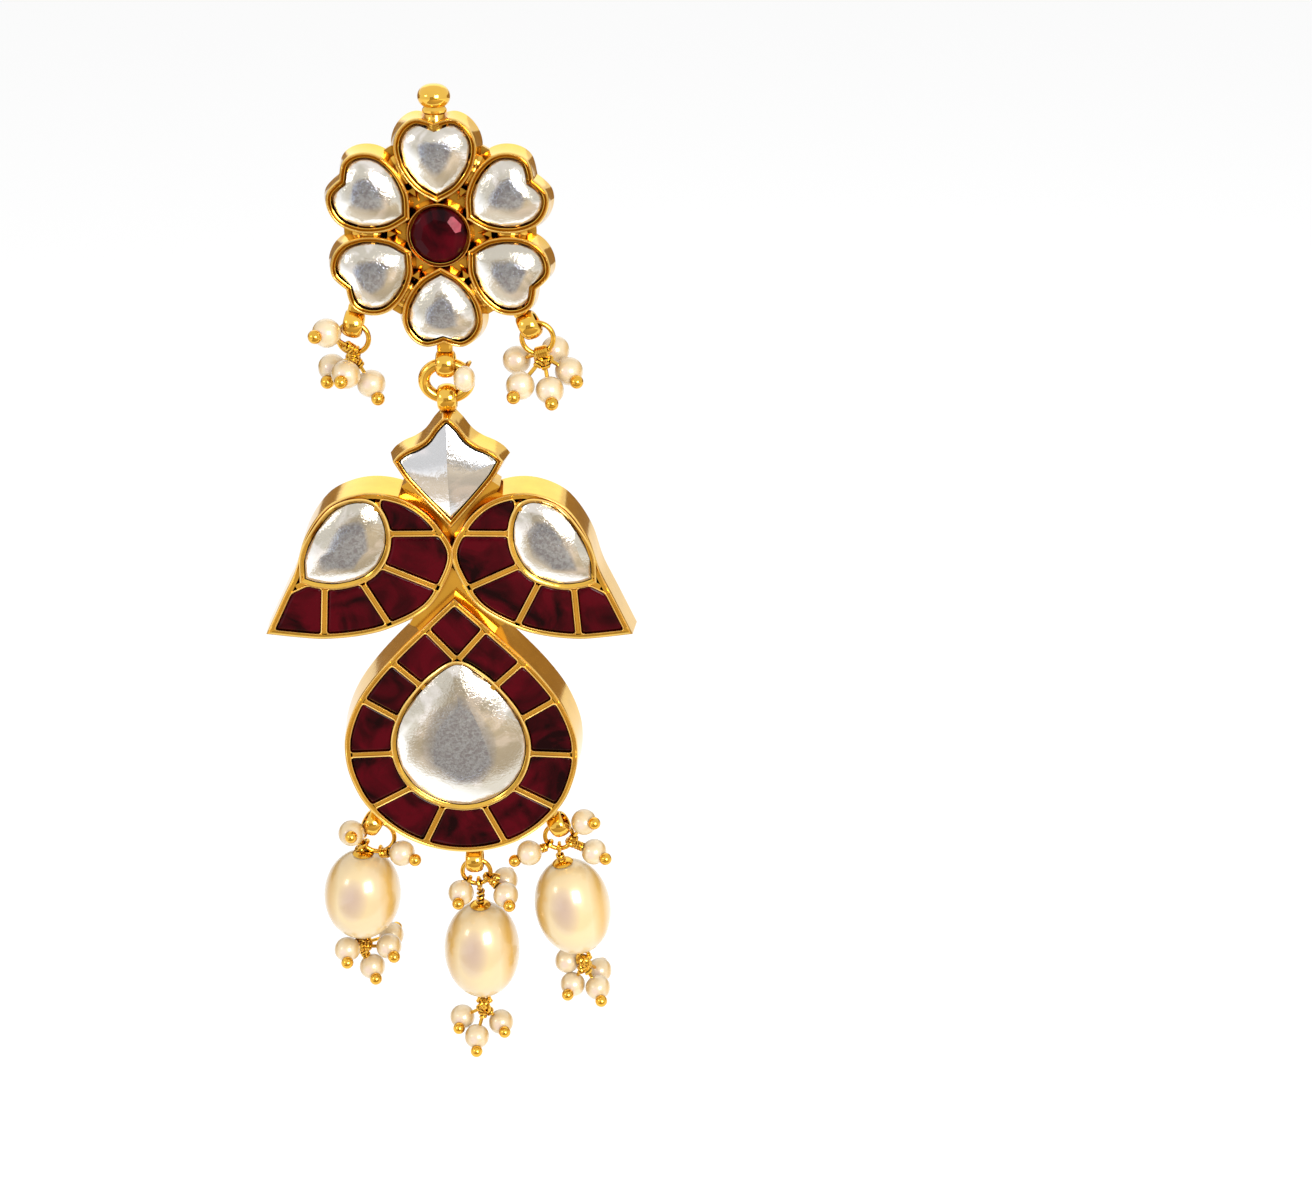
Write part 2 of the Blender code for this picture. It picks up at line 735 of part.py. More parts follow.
def build_link():
    """The oval link and the small pearl that is pinned to it."""
    middle = Vector((0, HANG_Y, LINK_Z))
    half = (LINK_WIDTH - LINK_WIRE) / 2
    keep(ring("link_ring", middle, half, LINK_WIRE, height_radius=LINK_DROP, sides=20), MATERIALS["gold"])
    right, forward, up = RING_PEARL_PLACE
    place = middle + Vector((right, forward, up))
    angle = math.radians(RING_PEARL_TURN)
    hook = middle + Vector((half * math.sin(angle), 0, LINK_DROP * math.cos(angle)))
    tangent = Vector((half * math.cos(angle), 0, -LINK_DROP * math.sin(angle))).normalized()
    side = tangent.cross(Vector((0, 1, 0)))
    loop_radius = LINK_WIRE / 2 + KNOT_WIRE / 2 + 2 * FIT
    pieces = [
        ring("ring_pearl_loop", hook, loop_radius, KNOT_WIRE, Vector((0, 1, 0)), side, sides=KNOT_SIDES),
        pin("ring_pearl_pin", hook - Vector((0, loop_radius, 0)), place, PIN_WIRE),
        ball("ring_pearl_ball", place, Vector((0, 0, 1)), RING_PEARL_WIDTH / 2, RING_PEARL_HEIGHT / 2),
    ]
    soldered("ring_pearl", MATERIALS["pearl"], pieces)


def border(frame, frame_wall, cup, middle, bars, spin, gap):
    """The outlines of a border's cells, each drawn in by a gap on every side."""
    inner_edge = inset(frame, frame_wall + gap)
    outer_edge = inset(cup, -gap)
    return [cell(inner_edge, outer_edge, middle, pair, BAR_WIDTH / 2 + gap, spin)
            for pair in zip(bars, bars[1:])]


def bar_ends(rows, half_width, top, height):
    return [(Vector((x0 * half_width, top - z0 * height)), Vector((x1 * half_width, top - z1 * height)))
            for x0, z0, x1, z1 in rows]


def flipped(outline):
    return [Vector((-point.x, point.y)) for point in outline]


def inlay(name, outline):
    """A red piece that fills one cell, with a pillowed top just below the rim."""
    middle = sum(outline, Vector((0, 0))) / len(outline)
    front = PENDANT_FRONT + INLAY_SINK - INLAY_CROWN
    stone = cut_stone(name, outline, front, PENDANT_FRONT + INLAY_SINK,
                      PENDANT_FRONT + INLAY_POCKET - FIT, middle, INLAY_SHARE)
    keep(stone, MATERIALS["red_stone"])


def seat_stone(name, outline, wall, middle, depth=STONE_POCKET):
    """(pocket cutter) of a cup, with the clear stone that sits in it."""
    floor = PENDANT_FRONT + depth
    pocket = plate(f"{name}_pocket", inset(outline, wall), PENDANT_FRONT - depth, floor)
    stone = cut_stone(name, inset(outline, wall + FIT), PENDANT_FRONT - TABLE_RISE,
                      PENDANT_FRONT + GIRDLE_DEPTH, floor - FIT, middle, TABLE_SHARE)
    keep(stone, MATERIALS["clear_stone"])
    return pocket


def build_drop():
    """The pendant's soldered metal, its stones and inlays, and what hangs from it."""
    pieces, cutters = [], []

    def cell_cutter(name, outline):
        cutters.append(plate(name, outline, PENDANT_FRONT - INLAY_POCKET, PENDANT_FRONT + INLAY_POCKET))

    kite = smooth_outline(both_sides(placed(KITE, KITE_WIDTH / 2, KITE_TOP, KITE_HEIGHT)))
    kite_middle = Vector((0, KITE_TOP - KITE_HEIGHT * KITE_MIDDLE_SHARE))
    pieces.append(flared_cup("kite_cup", kite, PENDANT_FRONT, PENDANT_FRONT + KITE_THICKNESS, kite_middle))
    cutters.append(seat_stone("kite_stone", kite, PENDANT_RIM, kite_middle, KITE_POCKET))

    for side, sign, reach in (("left", -1, WING_REACH_LEFT), ("right", 1, WING_REACH_RIGHT)):
        def to_side(outline):
            return outline if sign > 0 else flipped(outline)

        wing = smooth_outline(placed(WING, reach, WING_TOP, WING_HEIGHT))
        almond = smooth_outline(placed(ALMOND, reach, WING_TOP, WING_HEIGHT))
        middle = Vector((ALMOND_MIDDLE[0] * reach, WING_TOP - ALMOND_MIDDLE[1] * WING_HEIGHT))
        bars = bar_ends(WING_BARS, reach, WING_TOP, WING_HEIGHT)
        side_middle = to_side([middle])[0]
        pieces.append(flared_cup(f"wing_{side}", to_side(wing), PENDANT_FRONT, PENDANT_BACK, side_middle))
        cutters.append(seat_stone(f"wing_stone_{side}", to_side(almond), CUP_WALL, side_middle))
        for i, outline in enumerate(border(wing, PENDANT_RIM, almond, middle, bars, -1, 0)):
            cell_cutter(f"wing_pocket_{side}_{i + 1}", to_side(outline))
        for i, outline in enumerate(border(wing, PENDANT_RIM, almond, middle, bars, -1, FIT)):
            inlay(f"wing_inlay_{side}_{i + 1}", to_side(outline))

    teardrop = smooth_outline(both_sides(placed(TEARDROP, TEARDROP_WIDTH / 2, TEARDROP_TOP, TEARDROP_HEIGHT)))
    cup = smooth_outline(both_sides(placed(CUP, CUP_WIDTH / 2, CUP_TOP, CUP_HEIGHT)))
    middle = Vector((0, CUP_TOP - CUP_HEIGHT * CUP_MIDDLE_SHARE))
    pieces.append(flared_cup("teardrop", teardrop, PENDANT_FRONT, PENDANT_BACK, middle))
    cutters.append(seat_stone("drop_stone", cup, CUP_WALL, middle))
    right_bars = bar_ends(TEARDROP_BARS, TEARDROP_WIDTH / 2, TEARDROP_TOP, TEARDROP_HEIGHT)
    left_bars = [tuple(flipped(ends)) for ends in reversed(right_bars)]
    bars = right_bars + left_bars + right_bars[:1]
    for i, outline in enumerate(border(teardrop, PENDANT_RIM, cup, middle, bars, 1, 0)):
        cell_cutter(f"border_pocket_{i + 1}", outline)
    for i, outline in enumerate(border(teardrop, PENDANT_RIM, cup, middle, bars, 1, FIT)):
        inlay(f"border_inlay_{i + 1}", outline)

    for name, rows, half_width, top, height in (
        ("kite_web", KITE_WEB, KITE_WIDTH / 2, KITE_TOP, KITE_HEIGHT),
        ("teardrop_web", TEARDROP_WEB, TEARDROP_WIDTH / 2, TEARDROP_TOP, TEARDROP_HEIGHT),
    ):
        outline = [Vector((x * half_width, top - z * height)) for x, z in rows]
        pieces.append(plate(name, outline, PENDANT_BACK - PENDANT_WEB_LEVEL, PENDANT_BACK))

    loop, bore = bail("drop_bail", Vector((0, HANG_Y, DROP_BAIL_Z)), -down_turned(0),
                      KITE_BAIL_REACH * BAIL_SINK)
    pieces += loop
    cutters.append(bore)
    for name, across, below, neck, radius, ring_turn, hook_turn, reach, lean, length in PENDANTS:
        hole = Vector((across * TEARDROP_WIDTH / 2, HANG_Y, TEARDROP_BOTTOM - below))
        loop, bore = bail(f"bail_{name}", hole, down_turned(0), neck)
        pieces += loop
        cutters.append(bore)
        middle = hole + down_turned(ring_turn) * radius
        keep(ring(f"jump_ring_lower_{name}", middle, radius, JUMP_WIRE), MATERIALS["antique_gold"])
        RINGS[f"pendant {name}"] = (middle, radius)
        build_pearl(name, middle + down_turned(hook_turn) * radius, hook_turn, reach, lean, length)
    soldered("drop_setting", MATERIALS["gold"], pieces, cutters)


def build_pearl(name, hook, hook_turn, reach, lean, length):
    """A drilled oval pearl on its eye pin, which loops round the jump ring at the hook."""
    axis = down_turned(lean)
    middle = hook + axis * reach
    radius = BIG_PEARL_WIDTH / 2
    half = length / 2
    bore = PEARL_BORE / 2
    profile = []
    for i in range(PEARL_ROWS + 1):
        turn = math.pi * i / PEARL_ROWS
        profile.append((max(radius * math.sin(turn), bore), half * math.cos(turn)))
    mesh = bpy.data.meshes.new(f"pearl_{name}")
    mesh.from_pydata([(x, 0, z) for x, z in profile],
                     [(i, (i + 1) % len(profile)) for i in range(len(profile))], [])
    pearl = bpy.data.objects.new(f"pearl_{name}", mesh)
    turned = pearl.modifiers.new("turned", "SCREW")
    turned.steps = ROUND_SIDES
    turned.render_steps = ROUND_SIDES
    turned.use_merge_vertices = False
    turned.use_smooth_shade = True
    pearl.matrix_world = Matrix.Translation(middle) @ facing(-axis)
    mesh.materials.append(MATERIALS["pearl"])
    weld = pearl.modifiers.new("weld", "WELD")
    weld.merge_threshold = SAME_PLACE
    FINISHED.append(pearl)

    tangent = Vector((math.cos(math.radians(hook_turn)), 0, math.sin(math.radians(hook_turn))))
    outward = down_turned(hook_turn)
    cap_middle = middle - axis * (half + CAP_GAP + CAP_HEIGHT / 2)
    foot = middle + axis * (half + CAP_GAP + CAP_HEIGHT + EYE_RADIUS)
    pieces = [
        cylinder(f"eye_pin_cap_{name}", cap_middle, -axis, CAP_RADIUS, CAP_HEIGHT,
                 top_radius=CAP_RADIUS * CAP_TOP_SHARE),
        ring(f"eye_pin_top_{name}", hook, EYE_RADIUS, EYE_WIRE, Vector((0, 1, 0)), outward, sides=KNOT_SIDES),
        pin(f"eye_pin_neck_{name}", hook + outward * EYE_RADIUS, cap_middle, EYE_WIRE),
        pin(f"eye_pin_shank_{name}", cap_middle, foot - axis * EYE_RADIUS, EYE_WIRE),
        ring(f"eye_pin_foot_{name}", foot, EYE_RADIUS, EYE_WIRE, sides=KNOT_SIDES),
    ]
    soldered(f"eye_pin_{name}", MATERIALS["antique_gold"], pieces)
    RINGS[f"foot {name}"] = (foot, EYE_RADIUS)


def build_cluster(name, hangs_from, turn, rows):
    """Small pearls on head pins, whose wires are wound together round one wire."""
    middle, radius = RINGS[hangs_from]
    outward = down_turned(turn)
    hook = middle + outward * radius
    pieces = [
        ring(f"{name}_knot", hook, KNOT_RADIUS, KNOT_WIRE, Vector((0, 1, 0)), outward, sides=KNOT_SIDES),
    ]
    for i, (right, back, up, swing, lean) in enumerate(rows):
        offset = Vector((right, back, up)) * OFFSET_UNIT
        place = hook + offset
        across = Vector((0, offset.y, 0)) + outward * offset.dot(outward)
        start = hook + across.normalized() * KNOT_RADIUS
        tilt = math.radians(lean)
        head_way = down_turned(swing) * math.cos(tilt) - Vector((0, math.sin(tilt), 0))
        head = place + head_way * (SMALL_PEARL_RADIUS + PIN_HEAD_RADIUS * HEAD_STEP)
        pieces.append(pin(f"{name}_pin_{i}", start, place, PIN_WIRE))
        pieces.append(ball(f"{name}_pearl_{i}", place, head_way, SMALL_PEARL_RADIUS, SMALL_PEARL_RADIUS))
        pieces.append(ball(f"{name}_head_{i}", head, head_way, PIN_HEAD_RADIUS, PIN_HEAD_RADIUS, HEAD_SIDES))
    soldered(name, MATERIALS["pearl"], pieces)


clear_scene()
PARTS = new_collection(OBJECT_NAME)
HELPERS = new_collection("cutters", hidden=True)
MATERIALS = {name: make_finish(name) for name in FINISHES}
FINISHED = []
RINGS = {}
build_stud()
build_link()
build_drop()
for cluster in CLUSTERS:
    build_cluster(*cluster)
for part in FINISHED:
    PARTS.objects.link(part)
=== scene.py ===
# %% [markdown]
# # A kundan drop earring
#
# Kundan work sets flat foiled stones in cups of soft gold. This earring has a flower that sits on
# the ear, an oval link, and a long pendant of a kite, two wings and a teardrop, with pearls at its
# foot. The solids of every piece are already in the frame. Here each one gets the finer shape and
# the finish that an eye would look for: rounded rims, domed stones, drilled pearls, wound wire.

# %% Load the frame
import math

import bmesh
import bpy
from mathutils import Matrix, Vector, noise
from mathutils.geometry import interpolate_bezier, intersect_line_line_2d


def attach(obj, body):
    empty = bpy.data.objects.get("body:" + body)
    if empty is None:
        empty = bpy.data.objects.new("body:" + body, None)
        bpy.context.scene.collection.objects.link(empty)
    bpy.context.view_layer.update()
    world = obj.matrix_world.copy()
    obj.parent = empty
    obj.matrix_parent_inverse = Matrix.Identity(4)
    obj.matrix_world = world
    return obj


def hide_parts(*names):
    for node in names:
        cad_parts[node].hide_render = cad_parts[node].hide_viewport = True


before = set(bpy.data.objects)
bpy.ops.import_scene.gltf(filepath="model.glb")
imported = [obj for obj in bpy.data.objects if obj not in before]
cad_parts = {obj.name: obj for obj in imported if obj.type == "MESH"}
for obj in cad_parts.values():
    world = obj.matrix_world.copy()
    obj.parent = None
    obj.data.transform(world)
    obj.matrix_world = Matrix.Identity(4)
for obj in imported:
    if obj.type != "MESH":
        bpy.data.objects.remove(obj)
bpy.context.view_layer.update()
print("nodes in the frame:", len(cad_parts))

# %% [markdown]
# ## Camera
#
# The picture was taken from a little above, with a short telephoto view. A longer lens shows a
# small thing without bulging it, and looking down shows the tops of the thick walls. The camera
# stands 185 mm in front of the flower and looks down by 24 degrees.

# %% Camera
CAMERA_PLACE = (0.02014, -0.18505, 0.04586)
CAMERA_TILT = math.radians(90 - 24.4)
LENS_MM = 54.88

camera_data = bpy.data.cameras.new("camera")
camera_data.lens = LENS_MM
camera_data.sensor_width = 36
camera_data.clip_start = 0.005
camera = bpy.data.objects.new("camera", camera_data)
camera.location = CAMERA_PLACE
camera.rotation_euler = (CAMERA_TILT, 0, 0)
bpy.context.scene.collection.objects.link(camera)
bpy.context.scene.camera = camera
print("camera at", CAMERA_PLACE)

# %% [markdown]
# ## Studio
#
# Polished gold has almost no colour of its own. It shows what stands around it, so the studio is
# half of the material. A white world and floor make the upward walls bright. A brown card in
# front and below makes the flat front faces bronze, low brown screens behind darken the side
# walls, and a white panel high behind draws a pale streak on the walls. All four are seen only
# in reflections. A large soft lamp on the right and a small one on the left draw two
# highlights on each pearl.

# %% Studio
FLOOR_Z = -0.112
WORLD_LIGHT = 1.0

bpy.context.scene.view_settings.view_transform = "Standard"


def dull_material(name, colour):
    material = bpy.data.materials.new(name)
    material.use_nodes = True
    shader = material.node_tree.nodes["Principled BSDF"]
    shader.inputs["Base Color"].default_value = (*colour, 1)
    shader.inputs["Roughness"].default_value = 1.0
    shader.inputs["Specular IOR Level"].default_value = 0.0
    return material


def stage_panel(name, corners, material):
    """A flat sheet of the studio. Its corners come in fours, one four for each face."""
    mesh = bpy.data.meshes.new(name)
    mesh.from_pydata(corners, [], [tuple(range(i, i + 4)) for i in range(0, len(corners), 4)])
    mesh.materials.append(material)
    panel = bpy.data.objects.new(name, mesh)
    bpy.context.scene.collection.objects.link(panel)
    return panel


def soft_lamp(name, place, aim, size, power):
    data = bpy.data.lights.new(name, "AREA")
    data.size = size
    data.energy = power
    lamp = bpy.data.objects.new(name, data)
    lamp.location = place
    lamp.rotation_euler = (Vector(aim) - Vector(place)).to_track_quat("-Z", "Y").to_euler()
    lamp.visible_camera = False
    bpy.context.scene.collection.objects.link(lamp)


world = bpy.data.worlds.new("studio")
world.use_nodes = True
world.node_tree.nodes["Background"].inputs["Color"].default_value = (1.0, 1.0, 1.0, 1)
world.node_tree.nodes["Background"].inputs["Strength"].default_value = WORLD_LIGHT
bpy.context.scene.world = world

HALF_FLOOR = 6.0
ON_FLOOR = FLOOR_Z + 0.001
FLOOR_CORNERS = [(x * HALF_FLOOR, y * HALF_FLOOR, FLOOR_Z) for x, y in ((-1, -1), (1, -1), (1, 1), (-1, 1))]
CARD_CORNERS = (
    # across, back, up: first the part on the floor, then the part that stands up
    (-0.10, -0.045, ON_FLOOR), (0.24, -0.045, ON_FLOOR), (0.26, -0.50, ON_FLOOR), (-0.20, -0.50, ON_FLOOR),
    (-0.20, -0.50, ON_FLOOR), (0.26, -0.50, ON_FLOOR), (0.26, -0.50, 0.10), (-0.20, -0.50, 0.10),
)
SCREEN_CORNERS = (
    # across, back, up: one low screen on each side behind the earring
    (-0.60, 0.20, ON_FLOOR), (-0.16, 0.45, ON_FLOOR), (-0.16, 0.45, 0.06), (-0.60, 0.20, 0.06),
    (0.16, 0.45, ON_FLOOR), (0.60, 0.20, ON_FLOOR), (0.60, 0.20, 0.06), (0.16, 0.45, 0.06),
)
PANEL_CORNERS = (
    # across, back, up
    (-0.28, 0.50, 0.10), (0.22, 0.50, 0.10), (0.22, 0.42, 0.42), (-0.28, 0.42, 0.42),
)


def glowing_material(name, colour, strength):
    material = dull_material(name, (0, 0, 0))
    shader = material.node_tree.nodes["Principled BSDF"]
    shader.inputs["Emission Color"].default_value = (*colour, 1)
    shader.inputs["Emission Strength"].default_value = strength
    return material


stage_panel("floor", FLOOR_CORNERS, dull_material("pale_floor", (0.95, 0.95, 0.95)))
REFLECTED = (
    # name, corners, finish of what shows only in reflections
    ("front_card", CARD_CORNERS, dull_material("card_brown", (0.40, 0.32, 0.21))),
    ("back_screens", SCREEN_CORNERS, dull_material("screen_brown", (0.30, 0.20, 0.10))),
    ("back_panel", PANEL_CORNERS, glowing_material("panel_white", (1.0, 0.97, 0.92), 1.6)),
)
for name, corners, material in REFLECTED:
    sheet = stage_panel(name, corners, material)
    sheet.visible_camera = sheet.visible_diffuse = False
    sheet.visible_shadow = sheet.visible_transmission = False

MIDDLE = (0, 0, -0.04)
soft_lamp("key", (0.17, -0.36, 0.10), MIDDLE, 0.18, 1.6)
soft_lamp("fill", (-0.30, -0.22, 0.12), MIDDLE, 0.08, 0.16)
print("lamps: key, fill")

# %% [markdown]
# ## Finishes
#
# A few effects come back in several finishes, so each is a node group that is built once. Wear
# varies colour and shine, and paints shade into the crevices that an occlusion mask finds. Nacre
# gives a pearl its faint cloudy bands, with a painted gold reflection at its sides and a painted
# mauve reflection in front. Foil is the wrinkled silver leaf under a kundan stone, and the last
# group paints the reflections of such a stone: grey-blue in its flat middle, pale at its slopes
# and a white glare where it faces down and to the left.

# %% Tools for shader groups
MIX_FACTOR, MIX_A, MIX_B, MIX_RESULT = 0, 6, 7, 2
COLOUR, NUMBER = "NodeSocketColor", "NodeSocketFloat"


def new_group(name, colours, numbers, outputs=("Height",)):
    """A group with colours and numbers as inputs, which puts out a colour and some values."""
    group = bpy.data.node_groups.new(name, "ShaderNodeTree")
    sockets = [("INPUT", COLOUR, label) for label in colours]
    sockets += [("INPUT", NUMBER, label) for label in numbers]
    sockets += [("OUTPUT", COLOUR, "Colour")] + [("OUTPUT", NUMBER, label) for label in outputs]
    for way, kind, label in sockets:
        group.interface.new_socket(name=label, in_out=way, socket_type=kind)
    return group, group.nodes.new("NodeGroupInput").outputs, group.nodes.new("NodeGroupOutput").inputs


def add_node(tree, kind, inputs, **settings):
    """A node whose inputs are fed with plain values or with the outputs of other nodes."""
    node = tree.nodes.new(kind)
    for key, value in settings.items():
        setattr(node, key, value)
    for socket, source in inputs.items():
        if isinstance(source, bpy.types.NodeSocket):
            tree.links.new(source, node.inputs[socket])
        else:
            node.inputs[socket].default_value = source
    return node


def ramp(tree, source, low, high, low_value=0.0, high_value=1.0):
    """A value carried from one range into another."""
    ranges = {"From Min": low, "From Max": high, "To Min": low_value, "To Max": high_value}
    return add_node(tree, "ShaderNodeMapRange", {"Value": source, **ranges}).outputs["Result"]


def blend(tree, mask, low, high, kind="MIX"):
    """One colour laid over another through a mask."""
    inputs = {MIX_FACTOR: mask, MIX_A: low, MIX_B: high}
    return add_node(tree, "ShaderNodeMix", inputs, data_type="RGBA", blend_type=kind).outputs[MIX_RESULT]


def calculated(tree, operation, *sources):
    return add_node(tree, "ShaderNodeMath", dict(enumerate(sources)), operation=operation).outputs["Value"]


def pattern(tree, scale, detail, distortion=0.0):
    """Noise that stays fixed to the piece."""
    place = tree.nodes.new("ShaderNodeTexCoord").outputs["Object"]
    inputs = {"Vector": place, "Scale": scale, "Detail": detail, "Distortion": distortion}
    return add_node(tree, "ShaderNodeTexNoise", inputs).outputs["Fac"]


def facing(tree, way, low, high):
    """A mask that grows where the surface leans towards a direction."""
    normal = tree.nodes.new("ShaderNodeTexCoord").outputs["Normal"]
    lean = add_node(tree, "ShaderNodeVectorMath", {0: normal, 1: way}, operation="DOT_PRODUCT")
    return ramp(tree, lean.outputs["Value"], low, high)


def put_out(tree, end, **sources):
    for label, source in sources.items():
        tree.links.new(source, end[label])
    return tree


print("a group's tools: ramp, blend, calculated, pattern, facing")

# %% [markdown]
# ## Four effects
#
# Each group below is one of the effects. Its inputs are the colours and scales in which the
# finishes differ, so gold and wire, or large and small pearls, share the same nodes.

# %% Shader groups


def build_wear_and_crevice_shade():
    """Metal that is patchy in tone and shine, with painted shade in its crevices."""
    tree, given, end = new_group("wear_and_crevice_shade", ("Colour", "CreviceShade"), ("Shine", "Depth"), ("Roughness", "Height"))
    patches = pattern(tree, 420.0, 3.0)
    # Ambient occlusion finds the crevices, and the crevice colour is painted into them as shade.
    corners = add_node(tree, "ShaderNodeAmbientOcclusion", {"Distance": given["Depth"]}, samples=6)
    depth = ramp(tree, corners.outputs["AO"], 0.25, 0.75, 1.0, 0.0)
    tone = ramp(tree, patches, 0.3, 0.7, 0.90, 1.06)
    tint = blend(tree, 1.0, given["Colour"], tone, "MULTIPLY")
    return put_out(tree, end, Colour=blend(tree, depth, tint, given["CreviceShade"]),
                   Roughness=calculated(tree, "MULTIPLY_ADD", patches, 0.07, given["Shine"]),
                   Height=pattern(tree, 1800.0, 2.0))


def build_nacre_and_reflections():
    """Cloudy pearl, with a painted gold reflection at its sides and a painted mauve reflection in front."""
    tree, given, end = new_group("nacre", ("Colour", "Cloud", "Gold", "Mauve"), ("GoldReflectionAmount", "Scale"))
    clouds = pattern(tree, given["Scale"], 2.0, 0.6)
    cloudy = blend(tree, ramp(tree, clouds, 0.35, 0.65), given["Colour"], given["Cloud"])
    # The gold band at the sides and the mauve patch in front are painted reflections, set by the surface's
    # direction.
    normal = tree.nodes.new("ShaderNodeTexCoord").outputs["Normal"]
    across = add_node(tree, "ShaderNodeSeparateXYZ", {"Vector": normal}).outputs["X"]
    width = calculated(tree, "ABSOLUTE", across)
    rise, fall = ramp(tree, width, 0.55, 0.78), ramp(tree, width, 0.84, 0.97, 1.0, 0.0)
    band = calculated(tree, "MULTIPLY", rise, fall)
    gold_reflected = blend(tree, calculated(tree, "MULTIPLY", band, given["GoldReflectionAmount"]), cloudy, given["Gold"])
    front = facing(tree, (-0.16, -0.95, 0.25), 0.90, 1.0)
    return put_out(tree, end, Colour=blend(tree, front, gold_reflected, given["Mauve"]), Height=clouds)


def build_foil():
    """Wrinkled leaf under dark glass."""
    tree, given, end = new_group("foil", ("Light", "Dark"), ("Scale",))
    wrinkles = pattern(tree, given["Scale"], 4.0, 1.2)
    colour = blend(tree, ramp(tree, wrinkles, 0.36, 0.62), given["Dark"], given["Light"])
    return put_out(tree, end, Colour=colour, Height=wrinkles)


def build_stone_reflections():
    """Painted reflections on a foiled stone: grey-blue facing front, beige on its slopes, white glare facing
    down-left.
    """
    tree, given, end = new_group("stone_painted_reflections", ("Slope", "Blush", "Middle", "Shade", "Glare"), ("Scale",))
    wrinkles = pattern(tree, given["Scale"], 5.0, 0.9)
    drift = ramp(tree, pattern(tree, 330.0, 2.0, 1.0), 0.48, 0.62)
    slopes = blend(tree, drift, given["Slope"], given["Blush"])
    middle = blend(tree, ramp(tree, wrinkles, 0.38, 0.62), given["Shade"], given["Middle"])
    # The middle, where the stone faces front, is painted grey-blue as a reflection, and the slopes beige.
    body = blend(tree, facing(tree, (0, -1, 0), 0.972, 0.988), slopes, middle)
    # A white glare is painted where the surface faces down and to the left.
    painted_glare = facing(tree, (-0.62, 0, -0.78), 0.12, 0.30)
    return put_out(tree, end, Colour=blend(tree, painted_glare, body, given["Glare"]), Height=wrinkles)


WEAR_AND_CREVICE_SHADE, NACRE_AND_REFLECTIONS, FOIL, STONE_REFLECTIONS = build_wear_and_crevice_shade(), build_nacre_and_reflections(), build_foil(), build_stone_reflections()
print("groups:", [g.name for g in (WEAR_AND_CREVICE_SHADE, NACRE_AND_REFLECTIONS, FOIL, STONE_REFLECTIONS)])

# %% [markdown]
# ## Gold, stones and pearls
#
# The gold is warm and bright, and brown in its crevices, where shade is painted. The red pieces are
# dark glass over foil: nearly black, with a faint red in the foil's wrinkles, and one facet of the
# centre stone is painted a lighter red as a glint. The clear stones act as small mirrors, with
# painted reflections: grey in the wrinkled middle and beige at the slopes. The crests of the rolled
# edges get a lighter gold of their own, a painted highlight.

# %% Materials
RELIEF_DEPTH = 0.0001


def finish_with(name, group, effects, bump, **shine):
    """A material from one group's values, a strength of relief and the shader's own values."""
    material = bpy.data.materials.new(name)
    material.use_nodes = True
    tree = material.node_tree
    shader = tree.nodes["Principled BSDF"]
    effect = add_node(tree, "ShaderNodeGroup", {}, node_tree=group)
    for label, value in effects.items():
        effect.inputs[label].default_value = value
    tree.links.new(effect.outputs["Colour"], shader.inputs["Base Color"])
    if "Roughness" in effect.outputs:
        tree.links.new(effect.outputs["Roughness"], shader.inputs["Roughness"])
    relief = add_node(tree, "ShaderNodeBump", {"Strength": bump, "Distance": RELIEF_DEPTH,
                                               "Height": effect.outputs["Height"]})
    tree.links.new(relief.outputs["Normal"], shader.inputs["Normal"])
    for label, value in shine.items():
        shader.inputs[label].default_value = value
    return material


STONE_SHINE = {"Metallic": 0.85, "Roughness": 0.14, "Coat Weight": 0.8, "Coat Roughness": 0.03}
GLASS_SHINE = {"Roughness": 0.07, "Specular IOR Level": 0.1}
NACRE_SHINE = {"Metallic": 0.15, "Roughness": 0.30, "Coat Weight": 0.9, "Coat Roughness": 0.12,
               "Specular IOR Level": 0.4}
# In each gold the crevice colour is painted shade.
GOLD = finish_with(
    "polished_gold", WEAR_AND_CREVICE_SHADE,
    dict(Colour=(0.87, 0.52, 0.085, 1), CreviceShade=(0.30, 0.115, 0.016, 1), Shine=0.07, Depth=0.0006),
    0.05, Metallic=1.0)
# A lighter gold for the crests of rims and lips, a painted highlight.
CREST_HIGHLIGHT_GOLD = finish_with(
    "bright_edge_gold", WEAR_AND_CREVICE_SHADE,
    dict(Colour=(0.96, 0.64, 0.19, 1), CreviceShade=(0.60, 0.34, 0.08, 1), Shine=0.20, Depth=0.0001),
    0.02, Metallic=1.0)
WIRE_GOLD = finish_with(
    "wire_gold", WEAR_AND_CREVICE_SHADE,
    dict(Colour=(0.80, 0.45, 0.06, 1), CreviceShade=(0.10, 0.034, 0.005, 1), Shine=0.06, Depth=0.0005),
    0.05, Metallic=1.0)
